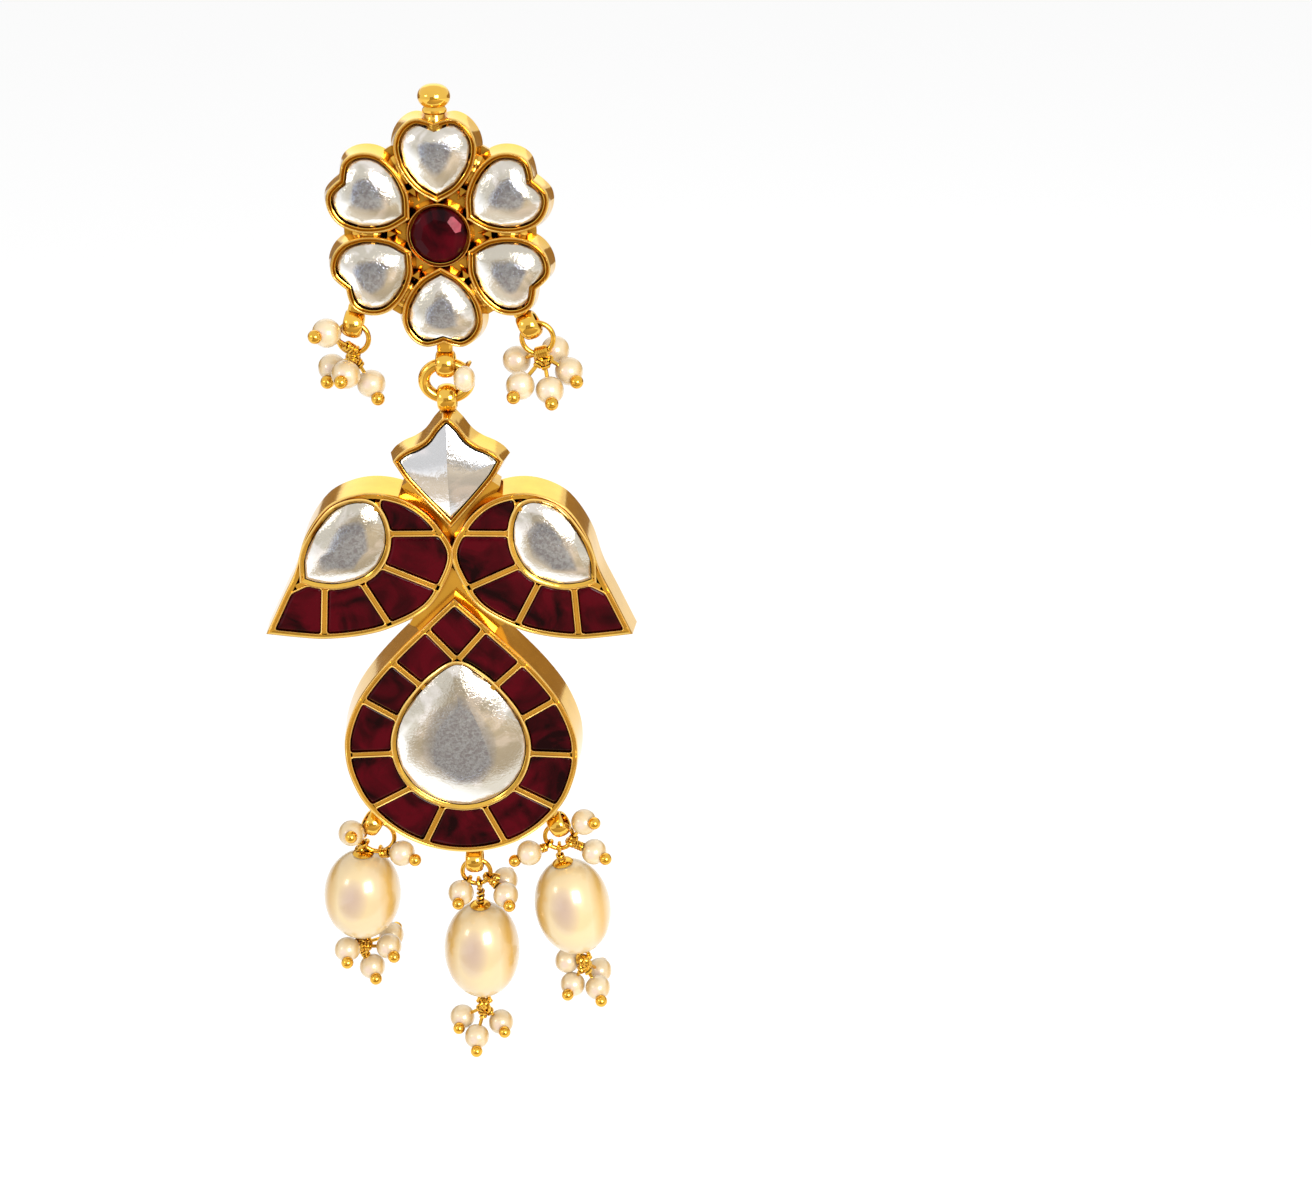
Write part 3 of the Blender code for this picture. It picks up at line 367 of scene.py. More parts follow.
# The stone colours are painted reflections, laid by the direction of the surface.
CLEAR_STONE = finish_with(
    "foiled_clear_stone", STONE_REFLECTIONS,
    dict(Slope=(0.52, 0.48, 0.40, 1), Blush=(0.72, 0.67, 0.62, 1), Middle=(0.42, 0.47, 0.56, 1),
         Shade=(0.27, 0.27, 0.33, 1), Glare=(0.90, 0.90, 0.88, 1), Scale=3200.0),
    0.3, **STONE_SHINE)
KITE_STONE = finish_with(
    "foiled_kite_stone", STONE_REFLECTIONS,
    dict(Slope=(0.55, 0.55, 0.56, 1), Blush=(0.72, 0.68, 0.68, 1), Middle=(0.40, 0.50, 0.66, 1),
         Shade=(0.30, 0.38, 0.52, 1), Glare=(0.90, 0.88, 0.88, 1), Scale=2200.0),
    0.3, **STONE_SHINE)
RED_GLASS = finish_with(
    "red_glass", FOIL,
    dict(Light=(0.054, 0.0004, 0.0035, 1), Dark=(0.006, 0.0002, 0.0010, 1), Scale=210.0),
    0.10, **GLASS_SHINE)
# A lighter red laid on one facet of the centre stone, a painted glint.
RED_GLINT = finish_with(
    "red_glow", FOIL,
    dict(Light=(0.34, 0.05, 0.07, 1), Dark=(0.10, 0.006, 0.012, 1), Scale=260.0),
    0.10, **GLASS_SHINE)
# The gold band and the mauve front of the pearls are painted reflections.
PEARL = finish_with(
    "pearl_nacre", NACRE_AND_REFLECTIONS,
    dict(Colour=(0.61, 0.47, 0.25, 1), Cloud=(0.57, 0.43, 0.24, 1), Gold=(0.52, 0.30, 0.06, 1),
         Mauve=(0.43, 0.31, 0.24, 1), GoldReflectionAmount=0.9, Scale=170.0),
    0.01, **NACRE_SHINE)
SEED_PEARL = finish_with(
    "seed_pearl_nacre", NACRE_AND_REFLECTIONS,
    dict(Colour=(0.63, 0.51, 0.33, 1), Cloud=(0.56, 0.43, 0.25, 1), Gold=(0.50, 0.30, 0.08, 1),
         Mauve=(0.60, 0.47, 0.38, 1), GoldReflectionAmount=0.8, Scale=420.0),
    0.02, **NACRE_SHINE)
FINISHES = (GOLD, CREST_HIGHLIGHT_GOLD, WIRE_GOLD, CLEAR_STONE, KITE_STONE, RED_GLASS, RED_GLINT, PEARL, SEED_PEARL)
print("finishes:", [material.name for material in FINISHES])

# %% [markdown]
# ## Tools for outlines
#
# Every cup on this earring is one outline carried through a few depths, so the outline is the
# thing to get right. It is drawn with a few points, smoothed between them, and kept sharp at its
# corners. Drawing it inwards by an even distance gives the rim, the groove and the stone, all
# parallel, as a jeweller's strip of gold bent round a stone would be.

# %% Outlines
FINE = 6
SHARP = True
SHARP_TURN = math.radians(20)
SAME_PLACE = 0.00002
MITRE_LIMIT = 0.35
LONGEST_EASING = 0.45
ARC_STEPS = (0.25, 0.5, 0.75)
END_MARGIN = 0.03


def smooth_outline(rows, steps=FINE):
    """A closed outline through rows of (x, z, corner): smooth spans that meet at sharp corners."""
    points = [Vector((x, z)) for x, z, _ in rows]
    count = len(rows)
    outline = []
    for i, (_, _, leaves_sharply) in enumerate(rows):
        j = (i + 1) % count
        before, start, end, after = points[i - 1], points[i], points[j], points[(j + 1) % count]
        chord = end - start
        leaving = chord if leaves_sharply else end - before
        arriving = chord if rows[j][2] else after - start
        handle = chord.length / 3
        outline += interpolate_bezier(
            start, start + leaving.normalized() * handle,
            end - arriving.normalized() * handle, end, steps + 1)[:-1]
    return [Vector(point[:2]) for point in outline]


def both_sides(half):
    return list(half) + [(-x, z, corner) for x, z, corner in reversed(half) if x > 0]


def placed(table, half_width, top, height):
    """A table's shares turned into sizes. Its rows are across, down and, at a corner, SHARP."""
    return [(across * half_width, top - down * height, bool(corner)) for across, down, *corner in table]


def turn_sign(outline):
    return math.copysign(1, sum(a.cross(b) for a, b in zip(outline, outline[1:] + outline[:1])))


def inset(outline, distance):
    """The outline drawn in by a distance. Points that a corner would swallow gather at it."""
    sign = turn_sign(outline)
    count = len(outline)
    moved, corners = [], []
    for i, point in enumerate(outline):
        back = point - outline[i - 1]
        ahead = outline[(i + 1) % count] - point
        turn = back.angle_signed(ahead, 0) * -sign
        normals = [Vector((-s.y, s.x)).normalized() * sign for s in (back, ahead)]
        share = max(1 + normals[0].dot(normals[1]), MITRE_LIMIT)
        moved.append(point + (normals[0] + normals[1]) * (distance / share))
        if abs(turn) > SHARP_TURN and turn * distance > 0:
            corners.append((i, abs(distance) * math.tan(abs(turn) / 2)))
    for i, reach in corners:
        for step in (1, -1):
            j, walked = i, 0.0
            while True:
                k = (j + step) % count
                walked += (outline[k] - outline[j]).length
                if walked >= reach or k == i:
                    break
                moved[k] = moved[i].copy()
                j = k
    return moved


def without_doubles(outline):
    kept = []
    for point in outline:
        if not kept or (point - kept[-1]).length > SAME_PLACE:
            kept.append(point)
    while (kept[0] - kept[-1]).length <= SAME_PLACE:
        kept.pop()
    return kept


def trimmed(run, reach):
    """A run of points with a length taken off each end."""
    for _ in range(2):
        run = run[::-1]
        left = reach
        while (run[1] - run[0]).length <= left:
            left -= (run[1] - run[0]).length
            run = run[1:]
        run = [run[0] + (run[1] - run[0]).normalized() * left] + run[1:]
    return run


def rounded(outline, radius):
    """The outline with its sharp corners eased into small arcs."""
    outline = without_doubles(outline)
    count = len(outline)
    corners = [i for i, point in enumerate(outline)
               if abs((point - outline[i - 1]).angle_signed(outline[(i + 1) % count] - point)) > SHARP_TURN]
    sides = []
    for i, j in zip(corners, corners[1:] + [corners[0] + count]):
        run = [outline[k % count] for k in range(i, j + 1)]
        length = sum((b - a).length for a, b in zip(run, run[1:]))
        sides.append(trimmed(run, min(radius, LONGEST_EASING * length)))
    result = []
    for i, side, following in zip(corners[1:] + corners[:1], sides, sides[1:] + sides[:1]):
        start, corner, end = side[-1], outline[i], following[0]
        result += side
        result += [start.lerp(corner, t).lerp(corner.lerp(end, t), t) for t in ARC_STEPS]
    return result


def circle(radius, sides=64):
    turns = [math.tau * i / sides for i in range(sides)]
    return [Vector((radius * math.sin(t), radius * math.cos(t))) for t in turns]


def hit(outline, start, direction):
    """Where a line from start first meets the outline."""
    nearest = math.inf
    for a, b in zip(outline, outline[1:] + outline[:1]):
        edge = b - a
        slope = direction.cross(edge)
        if slope == 0:
            continue
        along = (a - start).cross(edge) / slope
        share = (a - start).cross(direction) / slope
        if 0 <= share <= 1 and 0 < along < nearest:
            nearest = along
    return start + direction * nearest


def stretch(outline, middle, start, end, spin):
    """The outline's points from start to end round a middle, with spin 1 clockwise or -1."""
    def turn(point):
        return math.atan2(point.x - middle.x, point.y - middle.y) * spin

    first = turn(start)
    sweep = (turn(end) - first) % math.tau
    margin = END_MARGIN * sweep
    found = [((turn(point) - first) % math.tau, i) for i, point in enumerate(outline)]
    between = [outline[i] for angle, i in sorted(found) if margin < angle < sweep - margin]
    return [start] + between + [end]


def cell(frame_edge, cup_edge, middle, bars, half_bar, spin):
    """One cell of a border: between two bars, inside the frame's edge and outside the cup's."""
    ends = []
    for (inner, outer), side in zip(bars, (spin, -spin)):
        along = (outer - inner).normalized()
        start = (inner + outer) / 2 + Vector((along.y, -along.x)) * half_bar * side
        ends.append((hit(cup_edge, start, -along), hit(frame_edge, start, along)))
    (first_in, first_out), (last_in, last_out) = ends
    around = stretch(frame_edge, middle, first_out, last_out, spin)
    crossing = intersect_line_line_2d(first_in, first_out, last_in, last_out)
    if crossing:
        return around + [crossing]
    return around + stretch(cup_edge, middle, first_in, last_in, spin)[::-1]


print("a circle drawn in by 1 mm:", round(inset(circle(0.01), 0.001)[0].length, 4))

# %% [markdown]
# ## Tools for solids
#
# A loft joins one outline after another into a skin. A tube carries a round section along a
# path, for wire. A ball is a sphere with its poles on any axis. They all add to one mesh, so
# that a soldered piece is one object, as it is on the bench.

# %% Solids
POLE_SHARE = 0.004
SWELLS = 0.55
NOISE_SHIFT = 900
BORE_DEPTH = 0.4


def loft(mesh, rings, slot=0, capped=False, loop=False, bright=()):
    """Rings joined into a skin. The bands whose numbers are in bright get the second finish, a painted
    highlight on gold.
    """
    rows = [[mesh.verts.new(point) for point in ring] for ring in rings]
    pairs = list(zip(rows, rows[1:])) + ([(rows[-1], rows[0])] if loop else [])
    for band, (lower, upper) in enumerate(pairs):
        for i in range(len(lower)):
            j = (i + 1) % len(lower)
            face = mesh.faces.new((lower[i], lower[j], upper[j], upper[i]))
            face.material_index = 1 if band in bright else slot
    for row in (rows[0], rows[-1]) if capped else ():
        mesh.faces.new(row).material_index = slot


def level(outline, distance, depth):
    """An outline drawn in by a distance and set at a depth along Y."""
    return [Vector((p.x, depth, p.y)) for p in inset(outline, distance)]


def round_section(middle, start, side, radius, count):
    """A circle of points, which starts in one direction and turns towards another."""
    turns = [math.tau * k / count for k in range(count)]
    return [middle + (start * math.cos(t) + side * math.sin(t)) * radius for t in turns]


def tube(mesh, path, radius, slot=0, closed=False, sides=10):
    """A round wire along a path."""
    count = len(path)
    rings = []
    normal = None
    for i, point in enumerate(path):
        before = path[i - 1] if closed or i else point
        after = path[(i + 1) % count] if closed or i < count - 1 else point
        along = (after - before).normalized()
        if normal is None:
            normal = along.orthogonal().normalized()
        normal = (normal - along * normal.dot(along)).normalized()
        rings.append(round_section(point, normal, along.cross(normal), radius, sides))
    if closed:
        twist = min(range(sides), key=lambda k: (rings[-1][0] - rings[0][k]).length)
        rings.append(rings[0][twist:] + rings[0][:twist])
    loft(mesh, rings, slot, capped=not closed)


def ring_path(middle, radius, across, up, height=None, count=36):
    turns = [math.tau * i / count for i in range(count)]
    return [middle + across * radius * math.sin(t) + up * (height or radius) * math.cos(t) for t in turns]


def ball(mesh, middle, axis, radius, half_length, slot=0, around=24, bore=0.0, bulge=1.0, rough=0.0):
    """A ball or oval along an axis, with an open drill hole at its poles if it has a bore."""
    turn = axis.to_track_quat("Z", "Y").to_matrix()
    rows = around * 2 // 3
    rings = []
    for i in range(rows + 1):
        t = math.pi * i / rows
        wide = max(radius * math.sin(t) ** bulge, bore, radius * POLE_SHARE)
        ring = []
        for k in range(around):
            a = math.tau * k / around
            place = Vector((wide * math.cos(a), wide * math.sin(a), half_length * math.cos(t)))
            if rough:
                place *= 1 + rough * noise.noise(place * SWELLS / radius + middle * NOISE_SHIFT)
            ring.append(middle + turn @ place)
        rings.append(ring)
    loft(mesh, rings, slot, capped=not bore)
    for end in (rings[0], rings[-1]) if bore else ():
        deep = [p + (middle - p).normalized() * radius * BORE_DEPTH for p in end]
        loft(mesh, [end, deep], slot)


def block(mesh, middle, direction, width, depth, length, ease):
    """A strip with eased edges, its length along a direction in the front plane."""
    across = Vector((direction.z, 0, -direction.x))
    back = Vector((0, 1, 0))
    rings = []
    for along, shrink in ((-0.5, ease), (-0.5, 0), (0.5, 0), (0.5, ease)):
        offset = length * along + (ease if along < 0 else -ease) * (1 if not shrink else 0)
        section = []
        for a, b in ((1, 1), (1, -1), (-1, -1), (-1, 1)):
            u, v = a * (width / 2 - shrink), b * (depth / 2 - shrink)
            corners = [(u - a * ease, v), (u, v - b * ease)]
            section += corners if a * b > 0 else corners[::-1]
        rings.append([middle + direction * offset + across * u + back * v for u, v in section])
    loft(mesh, rings, capped=True)


def finish_piece(name, mesh, materials, body, node, flat=False, angle=35):
    """The mesh as a piece that rides on a body and stands for one node of the frame."""
    bmesh.ops.remove_doubles(mesh, verts=mesh.verts, dist=2e-6)
    bmesh.ops.dissolve_degenerate(mesh, edges=mesh.edges, dist=1e-6)
    bmesh.ops.recalc_face_normals(mesh, faces=mesh.faces)
    data = bpy.data.meshes.new(name)
    mesh.to_mesh(data)
    mesh.free()
    for material in materials:
        data.materials.append(material)
    if not flat:
        data.shade_smooth()
        data.set_sharp_from_angle(angle=math.radians(angle))
    piece = bpy.data.objects.new(name, data)
    bpy.context.scene.collection.objects.link(piece)
    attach(piece, body)
    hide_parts(node)


print("tools: loft, tube, ball, block")

# %% [markdown]
# ## Sizes
#
# Most sizes are those of the solids: the flower is 22 mm across, and the pendant hangs from an
# oval link below it. The heart cups' rims, the loops and the top bead are slightly fuller here.
# Everything hangs in one plane halfway through the flower's thickness.

# %% Sizes
FLOWER_THICKNESS = 0.0023
HEART_TIP_RADIUS = 0.0032
HEART_LENGTH = 0.0074
HEART_WIDTH = 0.0073
HEART_POCKET = 0.0015
HEART_RIM = 0.0006
HEART_SWELL = 0.00016
FLOWER_BEZEL_RADIUS = 0.0030
FLOWER_BACK_RADIUS = 0.0090
PETALS = 6
TOP_BEAD_RADIUS = 0.00150
TOP_BEAD_HEIGHT = 0.0020
TOP_NECK_RADIUS = 0.0010
TOP_NECK_HEIGHT = 0.0017
PENDANT_THICKNESS = 0.0042
PENDANT_RIM = 0.0006
BAR_WIDTH = 0.0006
CUP_FLARE = 0.0004
WALL_EASE = 0.00012
INLAY_POCKET = 0.0012
KITE_WIDTH = 0.01074
KITE_HEIGHT = 0.01145
KITE_THICKNESS = 0.0027
KITE_POCKET = 0.0018
WING_DROP = 0.00772
WING_HEIGHT = 0.0158
WING_REACH = {"left": 0.0191, "right": 0.0178}
WING_REST_SHARE = 0.71
TEARDROP_HEIGHT = 0.02954
TEARDROP_WIDTH = 0.0241
CUP_DROP = TEARDROP_HEIGHT * 0.24
CUP_HEIGHT = TEARDROP_HEIGHT * 0.582
CUP_WIDTH = TEARDROP_WIDTH * 0.589
BAIL_WIDTH = 0.00185
BAIL_HOLE = 0.00082
BAIL_WALL = 0.00040
BAIL_SINK = 0.00028
BAIL_BEAD = 0.00046
BAIL_NECK_DEPTH = 0.0013
BAIL_NECK_EASE = 0.0003
BAIL_NECK_WIDTH = BAIL_WIDTH * 0.8
BAIL_NECK_SHARE = 1.5
BAIL_MOUTH = 0.9
STUD_BAIL_REACH = 0.0021
KITE_BAIL_REACH = 0.00135
LINK_WIDTH = 0.0055
LINK_HEIGHT = 0.0046
LINK_WIRE = 0.00115
JUMP_WIRE = 0.0005

HANG_Y = -FLOWER_THICKNESS / 2
FLOWER_FRONT = -FLOWER_THICKNESS
PENDANT_FRONT = HANG_Y - PENDANT_THICKNESS / 2
PENDANT_BACK = HANG_Y + PENDANT_THICKNESS / 2
PETAL_REACH = HEART_TIP_RADIUS + HEART_LENGTH
LINK_DROP = (LINK_HEIGHT - LINK_WIRE) / 2
STUD_BAIL_Z = -PETAL_REACH - STUD_BAIL_REACH
LINK_Z = STUD_BAIL_Z - LINK_DROP
DROP_BAIL_Z = LINK_Z - LINK_DROP
KITE_TOP = DROP_BAIL_Z - KITE_BAIL_REACH
WING_TOP = KITE_TOP - WING_DROP
TEARDROP_TOP = WING_TOP - WING_HEIGHT * WING_REST_SHARE
TEARDROP_BOTTOM = TEARDROP_TOP - TEARDROP_HEIGHT
CUP_TOP = TEARDROP_TOP - CUP_DROP
RIGHT, BACK, UP = Vector((1, 0, 0)), Vector((0, 1, 0)), Vector((0, 0, 1))
print("pendant from", round(KITE_TOP, 4), "to", round(TEARDROP_BOTTOM, 4))

# %% [markdown]
# ## Cups and bezels
#
# A kundan cup is a wall of thin gold sheet with its top edge rolled over the stone. From outside
# to inside it has a bright rounded edge, a shallow step, and a dark gap before the stone. Each
# of those is one level of the loft, and the crest of the edge is a lighter gold, a painted
# highlight.

# %% Cups


def down_turned(degrees):
    """The direction that is a turn from straight down, in the front plane, to the right."""
    angle = math.radians(degrees)
    return Vector((math.sin(angle), 0, -math.cos(angle)))


def flared(outline, middle):
    radius = sum((p - middle).length for p in outline) / len(outline)
    return [middle + (p - middle) * (1 + CUP_FLARE / radius) for p in outline]


RIM_STEPS = (
    # share of the rim's width inwards, height above the front in metres
    (0.00, -0.00030), (0.00, -0.00012), (0.05, -0.00002), (0.15, 0.00005), (0.27, 0.00005),
    (0.37, -0.00002), (0.43, -0.00014), (0.55, -0.00022), (0.66, -0.00018), (0.73, -0.00012),
    (0.80, -0.00014), (0.84, -0.00026), (0.86, -0.00050),
)
# the crest bands take the lighter gold, a painted highlight
RIM_BRIGHT = (3, 4, 5, 6)


def cup(mesh, outline, middle, front, back, rim, floor):
    """A cup with a flared wall, a rolled edge and an open pocket."""
    wide = flared(outline, middle)
    rings = [level(wide, WALL_EASE, back), level(wide, 0, back - WALL_EASE)]
    rings += [level(outline, share * rim, front - height) for share, height in RIM_STEPS]
    rings.append(level(outline, rim * RIM_STEPS[-1][0], floor))
    loft(mesh, rings, capped=True, bright=RIM_BRIGHT)


def bail(mesh, hole, direction, neck):
    """A strap bent into a loop that bulges like a bead, on a short neck."""
    across = Vector((direction.z, 0, -direction.x))
    inner, outer, half = BAIL_HOLE, BAIL_HOLE + BAIL_WALL, BAIL_WIDTH / 2
    bend = [math.radians(a) for a in range(-90, 91, 15)]
    profile = [(math.sin(a), outer - BAIL_SINK + BAIL_BEAD * math.cos(a)) for a in bend]
    profile = [(-BAIL_MOUTH, inner), *profile, (BAIL_MOUTH, inner)]
    loft(mesh, [round_section(hole + across * half * share, direction, BACK, radius, 36)
                for share, radius in profile], loop=True)
    start = inner + BAIL_WALL / 2
    block(mesh, hole - direction * (start + neck) / 2, direction, BAIL_NECK_WIDTH, BAIL_NECK_DEPTH,
          neck - start, BAIL_NECK_EASE)


# %% [markdown]
# ## Cut stones
#
# A stone starts as a slab with the cup's outline. A cutter then grinds flat facets round its
# edge, and the bisect tool does just that: each cut takes off what lies outside one plane and
# closes the face. The facets are real, so they catch the light from every side.

# %% Stones
# A red stone's second finish is the painted glint.
CUT_MATERIALS = {"clear": [CLEAR_STONE], "kite": [CLEAR_STONE, KITE_STONE], "red": [RED_GLASS, RED_GLINT]}
PLAIN_CUT = (0,)
RIDGE_ANGLE = 20
SOFT_ANGLE = 35
TOP_DRAFT = 0.00004
ROUGH_HEIGHT = 0.001


def slab(outline, girdle, seat, rise):
    """The rough stone: straight sides, and a top that no cutter has touched yet."""
    mesh = bmesh.new()
    outline = without_doubles(outline)
    walls = ((0, seat), (0, girdle), (TOP_DRAFT, girdle - rise))
    loft(mesh, [level(outline, distance, depth) for distance, depth in walls], capped=True)
    return mesh


def grind(mesh, place, normal, slot):
    """Takes off all that lies outside one plane, and closes the facet."""
    cut = bmesh.ops.bisect_plane(mesh, geom=mesh.verts[:] + mesh.edges[:] + mesh.faces[:], plane_co=place,
                                 plane_no=normal, clear_outer=True)
    edges = [item for item in cut["geom_cut"] if isinstance(item, bmesh.types.BMEdge)]
    before = set(mesh.faces)
    bmesh.ops.holes_fill(mesh, edges=edges, sides=0)
    for face in set(mesh.faces) - before:
        face.material_index = slot


def facet_row(mesh, outline, middle, girdle, count, first, share, height, slope, slots=PLAIN_CUT):
    """A row of facets round a stone, each through a share of the reach at a height."""
    centre = Vector((middle.x, 0, middle.y))
    tilt = math.radians(slope)
    for k in range(count):
        turn = math.radians(first + 360 * k / count)
        way = Vector((math.sin(turn), 0, math.cos(turn)))
        reach = max((Vector((p.x, 0, p.y)) - centre).dot(way) for p in outline)
        place = centre + way * reach * share + BACK * (girdle - height)
        grind(mesh, place, way * math.sin(tilt) - BACK * math.cos(tilt), slots[k % len(slots)])


def stone(name, outline, middle, girdle, seat, rows, kind, body, node):
    """A cut stone. Each row: count, first turn, share of the reach, height, slope, finishes."""
    mesh = slab(outline, girdle, seat, max(row[3] for row in rows) + ROUGH_HEIGHT)
    for row in rows:
        facet_row(mesh, outline, middle, girdle, *row)
    bmesh.ops.remove_doubles(mesh, verts=mesh.verts, dist=SAME_PLACE)
    finish_piece(name, mesh, CUT_MATERIALS[kind], body, node, flat=kind == "red",
                 angle=RIDGE_ANGLE if kind == "kite" else SOFT_ANGLE)


# %% [markdown]
# ## The flower
#
# Six heart-shaped cups stand round a small round one. They are soldered side by side on a flat
# back plate, with a bead on top and three loops below. A disc closes the corners between the
# cups low down, so they look dark, and each has a small prong and a drop of solder.

# %% Flower metal
HEART = (
    # across, along from the tip, SHARP at a corner
    (0.00, 0.00, SHARP), (0.45, 0.125), (0.69, 0.25), (0.84, 0.365), (0.935, 0.473), (1.00, 0.64),
    (0.96, 0.77), (0.83, 0.885), (0.65, 0.965), (0.45, 1.00), (0.25, 0.985), (0.00, 0.94, SHARP),
)
HEART_STEPS = 4
BEZEL_RIM = 0.0004
HEART_BACK, BEZEL_BACK = -0.0002, -0.0004
PLATE_STEPS = (
    # drawn in, depth
    (0.0001, 0.0), (0.0, 0.0001), (0.0, 0.0007),
)
SIDE_BAILS = (
    # name, hole x, hole z, turn, ring turn, neck, ring radius
    ("left", -0.0086, -0.00875, -14, -4, 0.0021, 0.00145),
    ("right", 0.0081, -0.0089, 30, 30, 0.0024, 0.0015),
)


def turned(point, degrees):
    angle = math.radians(degrees)
    return Vector((point.x * math.cos(angle) + point.y * math.sin(angle),
                   point.y * math.cos(angle) - point.x * math.sin(angle)))


heart = placed(HEART, HEART_WIDTH / 2, HEART_TIP_RADIUS, -HEART_LENGTH)
heart = smooth_outline(both_sides(heart), HEART_STEPS)
heart = inset(heart, -HEART_SWELL)
hearts = [[turned(p, i * 360 / PETALS) for p in heart] for i in range(PETALS)]
heart_middles = [sum(h, Vector((0, 0))) / len(h) for h in hearts]

flower = bmesh.new()
for outline, middle in zip(hearts, heart_middles):
    cup(flower, outline, middle, FLOWER_FRONT, HEART_BACK, HEART_RIM, FLOWER_FRONT + HEART_POCKET)
bezel = circle(FLOWER_BEZEL_RADIUS)
cup(flower, bezel, Vector((0, 0)), FLOWER_FRONT, BEZEL_BACK, BEZEL_RIM, FLOWER_FRONT + HEART_POCKET)
back_plate = circle(FLOWER_BACK_RADIUS)
loft(flower, [level(back_plate, distance, -depth) for distance, depth in PLATE_STEPS], capped=True)
print("flower reach", round(PETAL_REACH, 4))

# %% [markdown]
# The corners between the hearts are filled one by one, each half a petal's turn further on. Then
# come the neck with its bead, and the loops.

# %% Corners, neck and loops
FILLET_REACH, FILLET_DEPTH, FILLET_SIZE = 0.0068, 0.0010, (0.0014, 0.00065)
SOLDER_REACH, SOLDER_DEPTH, SOLDER_SIZE = 0.0064, 0.0017, (0.00042, 0.0010)
RECESS_RADIUS, RECESS_DEPTHS = 0.0063, (0.0003, 0.0011)
PRONG_CORNERS = (
    # reach from the middle, to the side
    (0.0037, 0.0), (0.0050, 0.0006), (0.0050, -0.0006),
)
PRONG_STEPS = (
    # share of the outline, depth
    (1.25, 0.0010), (1.15, 0.0014), (0.6, 0.0017),
)
NECK_PROFILE = (
    # radius as a share of the neck's, height above the flower as a share
    (1.02, -0.75), (1.04, 0.00), (1.06, 0.18), (0.96, 0.32), (0.94, 0.48), (1.12, 0.58), (1.14, 0.70),
    (1.00, 0.82), (0.9, 1.1),
)
NECK_FOOT = 0.96
BEAD_LIFT = TOP_BEAD_HEIGHT * 0.4 - 0.00014
BEAD_HALF_HEIGHT, BEAD_BULGE = TOP_BEAD_HEIGHT / 2 + 0.00012, 0.85

for i in range(PETALS):
    angle = math.radians((i + 0.5) * 360 / PETALS)
    between = Vector((math.sin(angle), 0, math.cos(angle)))
    across = between.cross(BACK)
    ball(flower, between * FILLET_REACH - BACK * FILLET_DEPTH, BACK, *FILLET_SIZE, around=28)
    ball(flower, between * SOLDER_REACH - BACK * SOLDER_DEPTH, between, *SOLDER_SIZE)
    prong = [between * reach + across * aside for reach, aside in PRONG_CORNERS]
    centre = sum(prong, Vector()) / len(prong)
    loft(flower, [[centre + (p - centre) * share - BACK * depth for p in prong]
                  for share, depth in PRONG_STEPS], capped=True)
loft(flower, [level(circle(RECESS_RADIUS), 0, -depth) for depth in RECESS_DEPTHS], capped=True)

neck_top = PETAL_REACH * NECK_FOOT + TOP_NECK_HEIGHT
loft(flower, [round_section(Vector((0, HANG_Y, neck_top - TOP_NECK_HEIGHT * (1 - rise))), RIGHT, BACK,
                            TOP_NECK_RADIUS * share, 28) for share, rise in NECK_PROFILE], capped=True)
ball(flower, Vector((0, HANG_Y, neck_top + BEAD_LIFT)), UP, TOP_BEAD_RADIUS, BEAD_HALF_HEIGHT,
     bulge=BEAD_BULGE, around=32)
bail(flower, Vector((0, HANG_Y, STUD_BAIL_Z)), down_turned(0), STUD_BAIL_REACH * BAIL_NECK_SHARE)
for name, x, z, turn, _, neck, _ in SIDE_BAILS:
    bail(flower, Vector((x, HANG_Y, z)), down_turned(turn), neck)
finish_piece("flower_metal", flower, [GOLD, CREST_HIGHLIGHT_GOLD], "stud", "flower_setting")
print("neck up to", round(neck_top, 4))

# %% [markdown]
# ## The flower's stones
#
# Each heart is domed, with a ring of steep facets and a flatter middle. The round centre is a
# dark red stone with a table and two rows of facets.

# %% Flower stones
FLOWER_GIRDLE = FLOWER_FRONT + 0.00035
FLOWER_SEAT = FLOWER_FRONT + 0.0013
STONE_GAP, CENTRE_GAP = 0.00012, 0.00002
PETAL_TURN = 7
PETAL_FACETS = (
    # count, first turn, share of the reach, height, slope
    (16, 10, 1.00, 0.00010, 44),
    (13, 28, 0.90, 0.00038, 30),
    (10, 40, 0.72, 0.00066, 18),
    (7, 15, 0.46, 0.00088, 9),
    (3, 0, 0.18, 0.00098, 3),
)
CENTRE_FACETS = (
    # count, first turn, share of the reach, height, slope, finishes
    (14, 0, 1.00, 0.00008, 44, PLAIN_CUT),
    # one facet in this row takes the second finish, a painted glint
    (8, 11, 0.82, 0.00045, 26, (0, 1, 0, 0, 0, 0, 0, 0)),
    (1, 0, 0.0, 0.00075, 0, PLAIN_CUT),
)
for i, (outline, middle) in enumerate(zip(hearts, heart_middles)):
    rows = [(count, first + PETAL_TURN * i, *rest) for count, first, *rest in PETAL_FACETS]
    stone(f"petal_gem_{i + 1}", inset(outline, HEART_RIM + STONE_GAP), middle, FLOWER_GIRDLE, FLOWER_SEAT,
          rows, "clear", "stud", f"petal_stone_{i + 1}")
stone("centre_gem", inset(bezel, BEZEL_RIM + CENTRE_GAP), Vector((0, 0)), FLOWER_GIRDLE, FLOWER_SEAT,
      CENTRE_FACETS, "red", "stud", "centre_stone")
print("stones in the flower:", len(hearts) + 1)

# %% [markdown]
# ## The link
#
# A thick oval ring joins the flower's lowest loop to the pendant's top loop. A small pearl is
# pinned to its upper right side.

# %% Link
RING_PEARL_PLACE = (0.00195, -0.0022, 0.0009)
RING_PEARL_TURN = 50
RING_PEARL_SIZE = (0.00105, 0.00125)
LOOP_GAP = 0.00037
SEED_ROUGHNESS = 0.04
LOOP_WIRE, SHANK_WIRE = 0.00016, 0.00018

